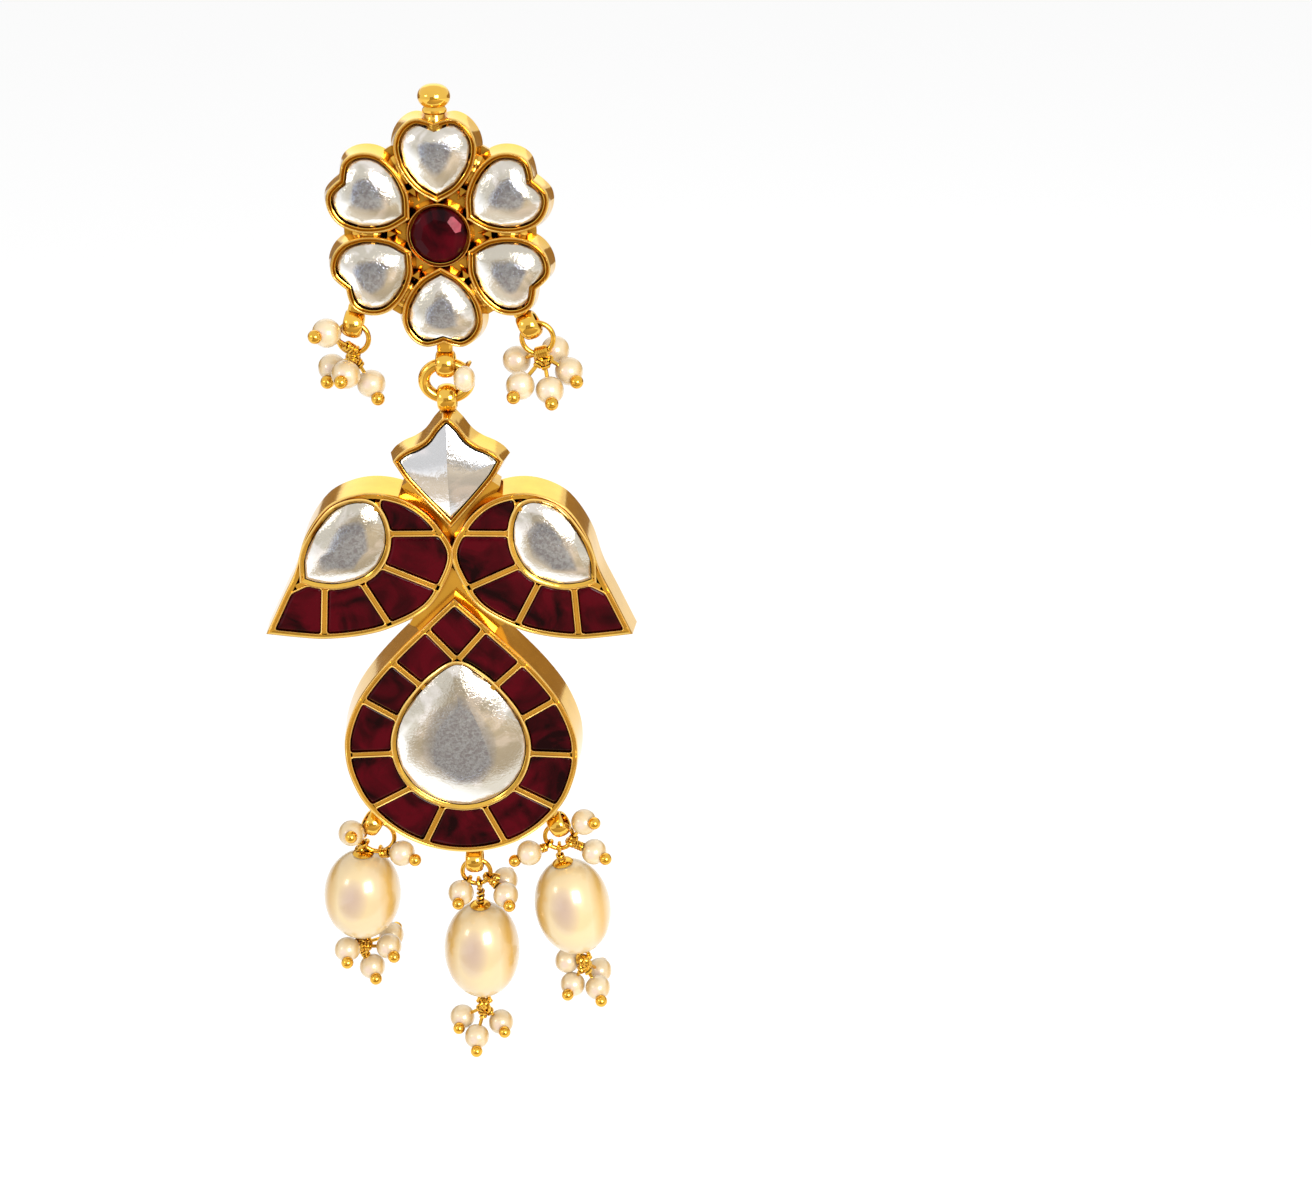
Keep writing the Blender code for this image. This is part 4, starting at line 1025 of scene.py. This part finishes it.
link_middle = Vector((0, HANG_Y, LINK_Z))
link_half = (LINK_WIDTH - LINK_WIRE) / 2
link = bmesh.new()
tube(link, ring_path(link_middle, link_half, RIGHT, UP, LINK_DROP, 64), LINK_WIRE / 2, closed=True, sides=20)
finish_piece("oval_link", link, [GOLD], "link", "link_ring")

bead = bmesh.new()
pearl_place = link_middle + Vector(RING_PEARL_PLACE)
angle = math.radians(RING_PEARL_TURN)
hook = link_middle + Vector((link_half * math.sin(angle), 0, LINK_DROP * math.cos(angle)))
tangent = Vector((link_half * math.cos(angle), 0, -LINK_DROP * math.sin(angle))).normalized()
loop_radius = LINK_WIRE / 2 + LOOP_GAP
tube(bead, ring_path(hook, loop_radius, BACK, tangent.cross(BACK)), LOOP_WIRE, 1, True)
tube(bead, [hook - BACK * loop_radius, pearl_place], SHANK_WIRE, 1)
ball(bead, pearl_place, UP, *RING_PEARL_SIZE, rough=SEED_ROUGHNESS)
finish_piece("link_pearl", bead, [SEED_PEARL, WIRE_GOLD], "link", "ring_pearl")
print("link from", round(STUD_BAIL_Z, 4), "to", round(DROP_BAIL_Z, 4))

# %% [markdown]
# ## The pendant's metal
#
# The kite, the wings and the teardrop are cups, soldered edge to edge, and the kite's is the
# shallowest. The wings and the teardrop have an inner cup for the main stone, and bars that part
# the red border into cells. Every cell has a thin lip whose crest is a lighter gold, a painted
# highlight line.

# %% Pendant outlines
KITE = (
    # across, down, SHARP at a corner
    (0.00, 0.00), (0.20, 0.07), (0.39, 0.187), (0.57, 0.248), (0.745, 0.285), (0.90, 0.335),
    (1.00, 0.392, SHARP), (0.77, 0.57), (0.00, 1.00, SHARP),
)
WING = (
    # across, down, SHARP at a corner; across is a share of the reach from the middle of the earring
    (0.402, 0.000), (0.533, 0.029), (0.649, 0.111), (0.758, 0.302), (0.821, 0.525), (0.894, 0.704),
    (1.000, 0.965, SHARP), (0.821, 0.990), (0.690, 1.000), (0.505, 0.978), (0.350, 0.927), (0.147, 0.793),
    (0.046, 0.615), (-0.008, 0.407), (0.065, 0.220), (0.160, 0.097), (0.266, 0.029),
)
ALMOND = (
    # across, down, SHARP at a corner, as shares of the wing
    (0.796, 0.602, SHARP), (0.783, 0.411), (0.701, 0.226), (0.598, 0.090), (0.465, 0.040), (0.372, 0.083),
    (0.318, 0.258), (0.342, 0.436), (0.433, 0.576), (0.595, 0.643), (0.717, 0.634),
)
ALMOND_MIDDLE = Vector((0.555, 0.36))
KITE_MIDDLE, CUP_MIDDLE = 0.42, 0.54
BACK_STAGGER = 0.00006
WING_BARS = (
    # inner across, inner down, outer across, outer down, as shares of the wing
    (0.375, 0.108, 0.367, 0.044), (0.318, 0.272, 0.059, 0.269), (0.346, 0.503, 0.060, 0.655),
    (0.462, 0.639, 0.333, 0.930), (0.674, 0.671, 0.696, 0.990), (0.783, 0.620, 0.837, 0.652),
)
TEARDROP = (
    # across, down, SHARP at a corner
    (0.000, 0.000, SHARP), (0.256, 0.104), (0.529, 0.217), (0.735, 0.316), (0.884, 0.411), (0.983, 0.522),
    (1.000, 0.609), (0.971, 0.690), (0.876, 0.791), (0.702, 0.882), (0.500, 0.946), (0.260, 0.986),
    (0.000, 1.000),
)
CUP = (
    # across, down, SHARP at a corner
    (0.00, 0.000), (0.34, 0.076), (0.62, 0.196), (0.86, 0.345), (1.00, 0.533), (0.945, 0.715),
    (0.73, 0.868), (0.39, 0.965), (0.00, 1.000),
)
TEARDROP_BARS = (
    # inner across, inner down, outer across, outer down, as shares of the teardrop
    (0.025, 0.225, 0.247, 0.118), (0.299, 0.340, 0.555, 0.240), (0.531, 0.461, 0.830, 0.385),
    (0.604, 0.598, 0.963, 0.605), (0.481, 0.744, 0.801, 0.817), (0.199, 0.829, 0.353, 0.964),
)
PENDANTS = (
    # name, hole x, hole below the teardrop, turn, neck, ring radius, ring turn, then for the pearl:
    # hook turn, reach, lean, length
    ("left", -0.00995, -0.0024, -34, 0.0022, 0.0018, 12, -60, 0.00625, -4, 0.0101),
    ("centre", 0.0007, 0.0022, 0, 0.0026, 0.0015, 5, 10, 0.00848, 0, 0.0113),
    ("right", 0.0098, -0.0022, 34, 0.0022, 0.0015, 0, 0, 0.00741, 10, 0.0111),
)


def bar_ends(rows, half_width, top, height):
    return [(Vector((x0 * half_width, top - z0 * height)), Vector((x1 * half_width, top - z1 * height)))
            for x0, z0, x1, z1 in rows]


def flipped(outline):
    return [Vector((-point.x, point.y)) for point in outline]


kite = smooth_outline(both_sides(placed(KITE, KITE_WIDTH / 2, KITE_TOP, KITE_HEIGHT)))
kite_middle = Vector((0, KITE_TOP - KITE_HEIGHT * KITE_MIDDLE))
teardrop = smooth_outline(both_sides(placed(TEARDROP, TEARDROP_WIDTH / 2, TEARDROP_TOP, TEARDROP_HEIGHT)))
inner_cup = smooth_outline(both_sides(placed(CUP, CUP_WIDTH / 2, CUP_TOP, CUP_HEIGHT)))
drop_middle = Vector((0, CUP_TOP - CUP_HEIGHT * CUP_MIDDLE))
right_bars = bar_ends(TEARDROP_BARS, TEARDROP_WIDTH / 2, TEARDROP_TOP, TEARDROP_HEIGHT)
left_bars = [tuple(flipped(ends)) for ends in reversed(right_bars)]
drop_bars = right_bars + left_bars + right_bars[:1]

wings = {}
for side, flip, spin, back in (("left", flipped, 1, PENDANT_BACK),
                               ("right", list, -1, PENDANT_BACK - BACK_STAGGER)):
    reach = WING_REACH[side]
    wings[side] = {
        "edge": flip(smooth_outline(placed(WING, reach, WING_TOP, WING_HEIGHT))),
        "almond": flip(smooth_outline(placed(ALMOND, reach, WING_TOP, WING_HEIGHT))),
        "middle": flip([Vector((ALMOND_MIDDLE.x * reach, WING_TOP - ALMOND_MIDDLE.y * WING_HEIGHT))])[0],
        "bars": [tuple(flip(list(ends))) for ends in bar_ends(WING_BARS, reach, WING_TOP, WING_HEIGHT)],
        "spin": spin,
        "back": back,
    }
print("outline points: kite", len(kite), "teardrop", len(teardrop))

# %% [markdown]
# ## Cells with bright lips
#
# The plate between the cells is flat and shows brown. Each cell's lip is a thin raised bead that
# follows the cell's outline and turns down inside it, so it draws a bright line on its crest, where
# a lighter gold paints a highlight, and a dark one in the gap beside the glass.

# %% Lips and bordered cups
LIP_STEPS = (
    # drawn in, height above the front
    (-0.00017, -0.00012), (-0.00013, 0.00002), (-0.00007, 0.00007), (0.00000, 0.00005),
    (0.00004, -0.00006), (0.00005, -0.00060),
)
# the crest bands take the lighter gold, a painted highlight
LIP_BRIGHT = (1, 2)
FIELD_DROP = 0.00006
TRAY_STEPS = (
    # drawn in, height above the front; the plate between the cells lies a little low
    (0.0, -0.00022), (0.00001, -0.00008), (0.00007, 0.00004), (0.00015, 0.00006), (0.00022, -0.00002),
    (0.00028, -FIELD_DROP), (0.00060, -FIELD_DROP), (0.00062, -0.0012),
)
# the crest bands take the lighter gold, a painted highlight
TRAY_BRIGHT = (3, 4, 5)
BEZEL_STEPS = (
    # drawn in, height above the front
    (-0.00010, -INLAY_POCKET), (-0.00010, -0.0001), (-0.00006, 0.00006), (0.00004, 0.00014),
    (0.00014, 0.00014), (0.00022, 0.00004), (0.00030, -0.00010), (0.00040, -0.00016), (0.00046, -0.00040),
    (0.00048, -0.0012),
)
# the crest bands take the lighter gold, a painted highlight
BEZEL_BRIGHT = (2, 3)
BAR_DEPTH, BAR_EASE, BAR_LAP = 0.001, 0.00004, 0.0003
CELL_GAP, CELL_ROUNDING = 0.0001, 0.00035


def stepped(mesh, outline, steps, bright, capped=False, walls=()):
    """A loft through rows of (drawn in, height above the front)."""
    rings = [level(outline, distance, PENDANT_FRONT - height) for distance, height in steps]
    loft(mesh, [*walls, *rings], capped=capped, bright=bright)


def bordered_cup(mesh, edge, middle, inner, bars, spin, back=PENDANT_BACK):
    """A shallow tray with an inner cup, and a lip round every cell. Returns the cells."""
    wide = flared(edge, middle)
    walls = [level(wide, WALL_EASE, back), level(wide, 0, back - WALL_EASE)]
    stepped(mesh, edge, TRAY_STEPS, TRAY_BRIGHT, True, walls)
    stepped(mesh, inner, BEZEL_STEPS, BEZEL_BRIGHT, True)
    bar_y = PENDANT_FRONT + FIELD_DROP + BAR_DEPTH / 2
    for a, b in bars:
        along = b - a
        direction = Vector((along.x, 0, along.y)).normalized()
        place = Vector(((a.x + b.x) / 2, bar_y, (a.y + b.y) / 2)) - direction * BAR_LAP
        block(mesh, place, direction, BAR_WIDTH, BAR_DEPTH, along.length, BAR_EASE)
    cells = []
    for pair in zip(bars, bars[1:]):
        outline = cell(inset(edge, PENDANT_RIM), inset(inner, -CELL_GAP), middle, pair, BAR_WIDTH / 2, spin)
        cells.append(rounded(outline, CELL_ROUNDING))
        stepped(mesh, cells[-1], LIP_STEPS, LIP_BRIGHT)
    return cells


print("bright bands:", len(TRAY_BRIGHT) + len(BEZEL_BRIGHT) + len(LIP_BRIGHT))

# %% [markdown]
# The kite, both wings and the teardrop go into one mesh. Two hidden webs of metal behind them
# close the gaps where their rounded sides meet. The right wing's back lies a hair in front of the
# left one's, because two faces in one plane would flicker where the wings overlap.

# %% Pendant metal, put together
WEB_DEPTHS = (0.00015, 0.0028)
WEBS = (
    # corners as shares across and down, half width, top, height
    (((0, 0.35), (0.90, 0.66), (0, 1.45), (-0.90, 0.66)), KITE_WIDTH / 2, KITE_TOP, KITE_HEIGHT),
    (((0, -0.15), (0.40, 0.12), (0, 0.20), (-0.40, 0.12)), TEARDROP_WIDTH / 2, TEARDROP_TOP, TEARDROP_HEIGHT),
)

metal = bmesh.new()
cup(metal, kite, kite_middle, PENDANT_FRONT, PENDANT_FRONT + KITE_THICKNESS, PENDANT_RIM,
    PENDANT_FRONT + KITE_POCKET)
cells = {}
for side, w in wings.items():
    cells[f"wing_{side}"] = bordered_cup(metal, w["edge"], w["middle"], w["almond"], w["bars"], w["spin"],
                                         w["back"])
cells["teardrop"] = bordered_cup(metal, teardrop, drop_middle, inner_cup, drop_bars, 1)
for corners, half_width, top, height in WEBS:
    web = [Vector((x * half_width, top - z * height)) for x, z in corners]
    loft(metal, [level(web, 0, PENDANT_BACK - depth) for depth in WEB_DEPTHS], capped=True)
bail(metal, Vector((0, HANG_Y, DROP_BAIL_Z)), -down_turned(0), KITE_BAIL_REACH * BAIL_NECK_SHARE)
for name, x, below, turn, neck, *_ in PENDANTS:
    bail(metal, Vector((x, HANG_Y, TEARDROP_BOTTOM - below)), down_turned(turn), neck)
finish_piece("pendant_metal", metal, [GOLD, CREST_HIGHLIGHT_GOLD], "drop", "drop_setting")
print("cells:", {k: len(v) for k, v in cells.items()})

# %% [markdown]
# ## Red glass
#
# The red pieces are ground to their cells and sit a hair below the lips. Their tops are gently
# pillowed, so each one gathers a soft reflection near an edge and stays dark in the middle.

# %% Red glass
GLASS_GAP = 0.00007
GLASS_STEPS = (
    # share of the size, depth below the front
    (1.00, 0.00095), (1.00, 0.00030), (0.985, 0.00018), (0.95, 0.00010), (0.88, 0.00006), (0.75, 0.00003),
    (0.50, 0.00001), (0.25, 0.00001),
)
RIPPLE_HEIGHT, RIPPLE_SCALE, RIPPLED_SHARE = 0.00005, 500, 0.9


def red_piece(name, outline, node):
    mesh = bmesh.new()
    middle = sum(outline, Vector((0, 0))) / len(outline)
    edge = without_doubles(inset(outline, GLASS_GAP))
    rings = []
    for share, depth in GLASS_STEPS:
        ripple = RIPPLE_HEIGHT if share < RIPPLED_SHARE else 0
        flat = [Vector((p.x, 0, p.y)) for p in (middle + (q - middle) * share for q in edge)]
        top = PENDANT_FRONT + depth
        rings.append([p + BACK * (top + ripple * noise.noise(p * RIPPLE_SCALE)) for p in flat])
    loft(mesh, rings, capped=True)
    finish_piece(name, mesh, [RED_GLASS], "drop", node, angle=60)


for side in ("left", "right"):
    for i, outline in enumerate(cells[f"wing_{side}"]):
        red_piece(f"wing_glass_{side}_{i + 1}", outline, f"wing_inlay_{side}_{i + 1}")
for i, outline in enumerate(cells["teardrop"]):
    red_piece(f"border_glass_{i + 1}", outline, f"border_inlay_{i + 1}")
print("red pieces:", sum(len(outlines) for outlines in cells.values()))

# %% [markdown]
# ## The pendant's clear stones
#
# The kite has a ridge down its middle, with long facets on both sides of it. The almonds and
# the large drop have steep sides and a wrinkled, nearly flat middle.

# %% Clear stones
GIRDLE = PENDANT_FRONT + 0.0003
SEAT = PENDANT_FRONT + 0.0024
KITE_SEAT = PENDANT_FRONT + 0.0016
KITE_GAP = 0.00004
CUP_GAP = 0.0005
KITE_FACETS = (
    # count, first turn, share of the reach, height, slope, finishes
    (4, 45, 1.00, 0.00005, 36, (0,)),
    (4, 45, 0.90, 0.00028, 21, (1,)),
    (2, 90, 0.00, 0.00125, 13, (1,)),
)
ALMOND_FACETS = (
    # count, first turn, share of the reach, height, slope
    (16, 0, 1.00, 0.00010, 44),
    (12, 20, 0.88, 0.00040, 28),
    (8, 40, 0.66, 0.00072, 15),
    (5, 10, 0.36, 0.00092, 6),
)
DROP_FACETS = (
    # count, first turn, share of the reach, height, slope
    (18, 0, 1.00, 0.00010, 44),
    (13, 20, 0.90, 0.00050, 28),
    (9, 10, 0.70, 0.00100, 16),
    (6, 30, 0.44, 0.00140, 8),
    (1, 0, 0.0, 0.00150, 0),
)
stone("kite_gem", inset(kite, PENDANT_RIM + KITE_GAP), kite_middle, GIRDLE, KITE_SEAT, KITE_FACETS, "kite",
      "drop", "kite_stone")
for side, w in wings.items():
    stone(f"almond_gem_{side}", inset(w["almond"], CUP_GAP), w["middle"], GIRDLE, SEAT, ALMOND_FACETS,
          "clear", "drop", f"wing_stone_{side}")
stone("drop_gem", inset(inner_cup, CUP_GAP), drop_middle, GIRDLE, SEAT, DROP_FACETS, "clear", "drop",
      "drop_stone")
print("kite facets:", sum(count for count, *_ in KITE_FACETS))

# %% [markdown]
# ## Jump rings
#
# A jump ring is one turn of wire with its ends pushed together. Two hang from the flower's side
# loops and three from the pendant's foot.

# %% Jump rings
RINGS = {}


def jump_ring(place, name, hole, ring_turn, radius, body, node):
    middle = hole + down_turned(ring_turn) * radius
    mesh = bmesh.new()
    tube(mesh, ring_path(middle, radius, RIGHT, UP, count=48), JUMP_WIRE / 2, closed=True, sides=14)
    finish_piece(name, mesh, [WIRE_GOLD], body, node)
    RINGS[place] = (middle, radius)


for name, x, z, _, ring_turn, _, radius in SIDE_BAILS:
    jump_ring(f"side {name}", f"side_ring_{name}", Vector((x, HANG_Y, z)), ring_turn, radius, "stud",
              f"jump_ring_upper_{name}")
for name, x, below, _, _, radius, ring_turn, *_ in PENDANTS:
    jump_ring(f"pendant {name}", f"foot_ring_{name}", Vector((x, HANG_Y, TEARDROP_BOTTOM - below)), ring_turn,
              radius, "drop", f"jump_ring_lower_{name}")
print("jump rings:", len(RINGS))

# %% [markdown]
# ## Large pearls and their eye pins
#
# Each large pearl is drilled through and hangs on a pin with an eye at both ends. The wire is
# wound round itself above the pearl, on a small cap. A real pearl is never quite regular, so
# its surface swells and sinks by a hundredth.

# %% Large pearls
PEARL_WIDTH = 0.0082
PEARL_BORE = 0.00035
PEARL_BULGE, PEARL_ROUGHNESS = 0.94, 0.012
EYE_RADIUS = 0.0006
CAP_HEIGHT = 0.0003
CAP_GAP = 0.0001
CAP_PROFILE = (
    # radius, place along the pin
    (0.00110, 0.00028), (0.00116, 0.00018), (0.0010, 0.0), (0.0006, -0.00016), (0.0003, -0.0002),
)
PIN_WIRE = 0.0002
NECK_WINDING = (0.00034, 0.00014, 3.5)
STEPS_PER_TURN = 12


def wound_wire(mesh, start, end, radius, wire, turns, slot=0):
    """A wire wound in a tight helix from start to end."""
    axis = end - start
    side = axis.orthogonal().normalized()
    other = axis.normalized().cross(side)
    count = int(turns * STEPS_PER_TURN)
    path = [start + axis * (k / count) + (side * math.cos(math.tau * turns * k / count)
                                          + other * math.sin(math.tau * turns * k / count)) * radius
            for k in range(count + 1)]
    tube(mesh, path, wire, slot, sides=8)


def eye_pin(mesh, hook, outward, place, axis, half):
    """A pin with a cap above the pearl and an eye at both ends. Returns the lower eye's middle."""
    cap = place - axis * (half + CAP_GAP + CAP_HEIGHT / 2)
    foot = place + axis * (half + CAP_GAP + CAP_HEIGHT + EYE_RADIUS)
    side = axis.orthogonal().normalized()
    loft(mesh, [round_section(cap + axis * along, side, axis.cross(side), radius, 24)
                for radius, along in CAP_PROFILE], capped=True)
    tube(mesh, ring_path(hook, EYE_RADIUS, BACK, outward, count=28), PIN_WIRE, closed=True)
    tube(mesh, [hook + outward * EYE_RADIUS, cap], PIN_WIRE)
    tube(mesh, [cap, foot - axis * EYE_RADIUS], PIN_WIRE)
    wound_wire(mesh, hook + outward * (EYE_RADIUS + CAP_GAP), cap, *NECK_WINDING)
    tube(mesh, ring_path(foot, EYE_RADIUS, RIGHT, UP, count=28), PIN_WIRE, closed=True)
    return foot


for name, *_, hook_turn, reach, lean, length in PENDANTS:
    middle, radius = RINGS[f"pendant {name}"]
    outward = down_turned(hook_turn)
    hook = middle + outward * radius
    axis = down_turned(lean)
    place = hook + axis * reach
    half = length / 2
    mesh = bmesh.new()
    ball(mesh, place, -axis, PEARL_WIDTH / 2, half, around=48, bore=PEARL_BORE, bulge=PEARL_BULGE,
         rough=PEARL_ROUGHNESS)
    finish_piece(f"large_pearl_{name}", mesh, [PEARL], "drop", f"pearl_{name}", angle=60)
    pin = bmesh.new()
    RINGS[f"foot {name}"] = (eye_pin(pin, hook, outward, place, axis, half), EYE_RADIUS)
    finish_piece(f"pearl_pin_{name}", pin, [WIRE_GOLD], "drop", f"eye_pin_{name}")
print("pearls:", [name for name, *_ in PENDANTS])

# %% [markdown]
# ## Seed pearls
#
# Small pearls are threaded on head pins. The head is a round drop of gold, and the other end is
# looped round a ring and wound back on itself. They hang in loose bunches, each at its own
# angle, and the heads point towards the eye.

# %% Seed pearls
CLUSTERS = (
    # name, hangs from, turn, rows of (right, back, up, head swing, head lean)
    ("side_pearls_left", "side left", 0, (
        (-2.2, -1.9, 2.5, -96, 60),
        (-2.5, 1.9, -2.1, -20, 52),
        (-0.7, -1.5, -1.7, -52, 80),
        (1.4, 0.3, -3.2, 32, 40),
    )),
    ("side_pearls_right", "side right", 15, (
        (-2.1, -1.2, -2.9, -40, 60),
        (0.7, -0.8, -3.5, 16, 60),
        (2.5, 1.1, -2.2, 52, 56),
        (-2.6, 2.4, -1.5, -60, -78),
        (1.1, 3.5, -0.8, 60, -78),
    )),
    ("top_pearl_left_1", "pendant left", -98, ((-0.7, -1.5, 1.1, 156, 72),)),
    ("top_pearl_left_2", "pendant left", 10, ((2.4, -1.3, 0.5, 80, 32),)),
    ("top_pearl_centre_1", "pendant centre", -40, ((-0.7, -1.0, -0.9, -28, 80),)),
    ("top_pearls_centre_2", "pendant centre", 60, (
        (1.9, -1.5, -1.3, 60, 72),
        (1.6, 1.7, -1.4, 50, -78),
    )),
    ("top_pearl_right_1", "pendant right", -50, ((-2.0, -1.0, -0.5, -68, 20),)),
    ("top_pearls_right_2", "pendant right", 60, (
        (1.4, -0.5, 2.8, 116, 44),
        (2.4, 0.0, -1.2, 84, 44),
    )),
    ("foot_pearls_left", "foot left", 0, (
        (-1.5, -1.1, 0.2, 16, 68),
        (1.0, -0.4, -2.5, 44, 64),
        (3.0, -0.7, 0.3, 68, 64),
        (2.8, 2.7, -0.5, 60, -78),
    )),
    ("foot_pearls_centre", "foot centre", 0, (
        (-2.6, 0.9, -2.4, -40, 76),
        (-0.9, -1.1, -3.6, 4, 60),
        (1.7, 0.5, -2.8, 72, 72),
    )),
    ("foot_pearls_right", "foot right", 0, (
        (-1.3, 0.1, -3.2, -64, 72),
        (1.5, -0.7, -3.1, 32, 64),
        (-1.9, 1.3, -0.9, -60, -78),
        (1.6, 2.9, -3.3, 40, -78),
    )),
)
OFFSET_UNIT = 0.001
SEED_RADIUS = 0.00139
SEED_HALF_LENGTH = SEED_RADIUS * 0.97
HEAD_RADIUS = 0.00067
HEAD_REACH = SEED_RADIUS + HEAD_RADIUS * 0.55
KNOT_RADIUS = 0.0005
KNOT_SPACING = 0.00022
WINDING = (0.00036, 0.00017, 3)
WINDING_SHARE, LONGEST_WINDING = 0.4, 0.0010
TANGLE_TURNS = 4
TANGLE_RADIUS, TANGLE_TOP = 0.00075, 0.0004
TANGLE_RISE, TANGLE_LEAN = 0.6, 0.8


def head_pin(mesh, knot, hook, place, outward, head_way):
    """A pearl on a pin that is looped round a ring at the knot and wound back on itself."""
    offset = place - hook
    start = hook + (BACK * offset.y + outward * offset.dot(outward)).normalized() * KNOT_RADIUS
    run = place - start
    wound = min(run.length * WINDING_SHARE, LONGEST_WINDING)
    tube(mesh, ring_path(knot, KNOT_RADIUS, BACK, outward, count=24), PIN_WIRE, 1, True, 8)
    tube(mesh, [start, place], PIN_WIRE, 1, sides=8)
    wound_wire(mesh, start, start + run.normalized() * wound, *WINDING, slot=1)
    ball(mesh, place, head_way, SEED_RADIUS, SEED_HALF_LENGTH, rough=SEED_ROUGHNESS)
    ball(mesh, place + head_way * HEAD_REACH, head_way, HEAD_RADIUS, HEAD_RADIUS, 1, around=20)


def tangle(mesh, hook):
    """The spare wire, bent round and round below a pearl."""
    for k in range(TANGLE_TURNS):
        spin = math.pi * k / TANGLE_TURNS
        way = RIGHT * math.cos(spin) + BACK * math.sin(spin)
        up = UP * TANGLE_RISE + BACK.cross(way) * TANGLE_LEAN
        low = hook + UP * (TANGLE_TOP - KNOT_SPACING * k)
        tube(mesh, ring_path(low, TANGLE_RADIUS, way, up, count=20), PIN_WIRE, 1, True, 8)


for name, hangs_from, turn, rows in CLUSTERS:
    middle, radius = RINGS[hangs_from]
    outward = down_turned(turn)
    hook = middle + outward * radius
    mesh = bmesh.new()
    for i, (right, back, up, swing, lean) in enumerate(rows):
        knot = hook + outward.cross(BACK) * KNOT_SPACING * (i - (len(rows) - 1) / 2)
        tilt = math.radians(lean)
        head_way = down_turned(swing) * math.cos(tilt) - BACK * math.sin(tilt)
        head_pin(mesh, knot, hook, hook + Vector((right, back, up)) * OFFSET_UNIT, outward, head_way)
    if hangs_from.startswith("foot"):
        tangle(mesh, hook)
    body = "stud" if hangs_from.startswith("side") else "drop"
    finish_piece(f"{name}_bunch", mesh, [SEED_PEARL, WIRE_GOLD], body, name)
print("bunches:", len(CLUSTERS))

# %% [markdown]
# ## The ear post
#
# A plain pin goes through the ear. It isn't seen from the front, and its solid is already right,
# so it only gets the gold.

# %% Ear post
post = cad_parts["ear_post"]
for material_slot in post.material_slots:
    material_slot.material = GOLD
print("ear post finish:", GOLD.name)
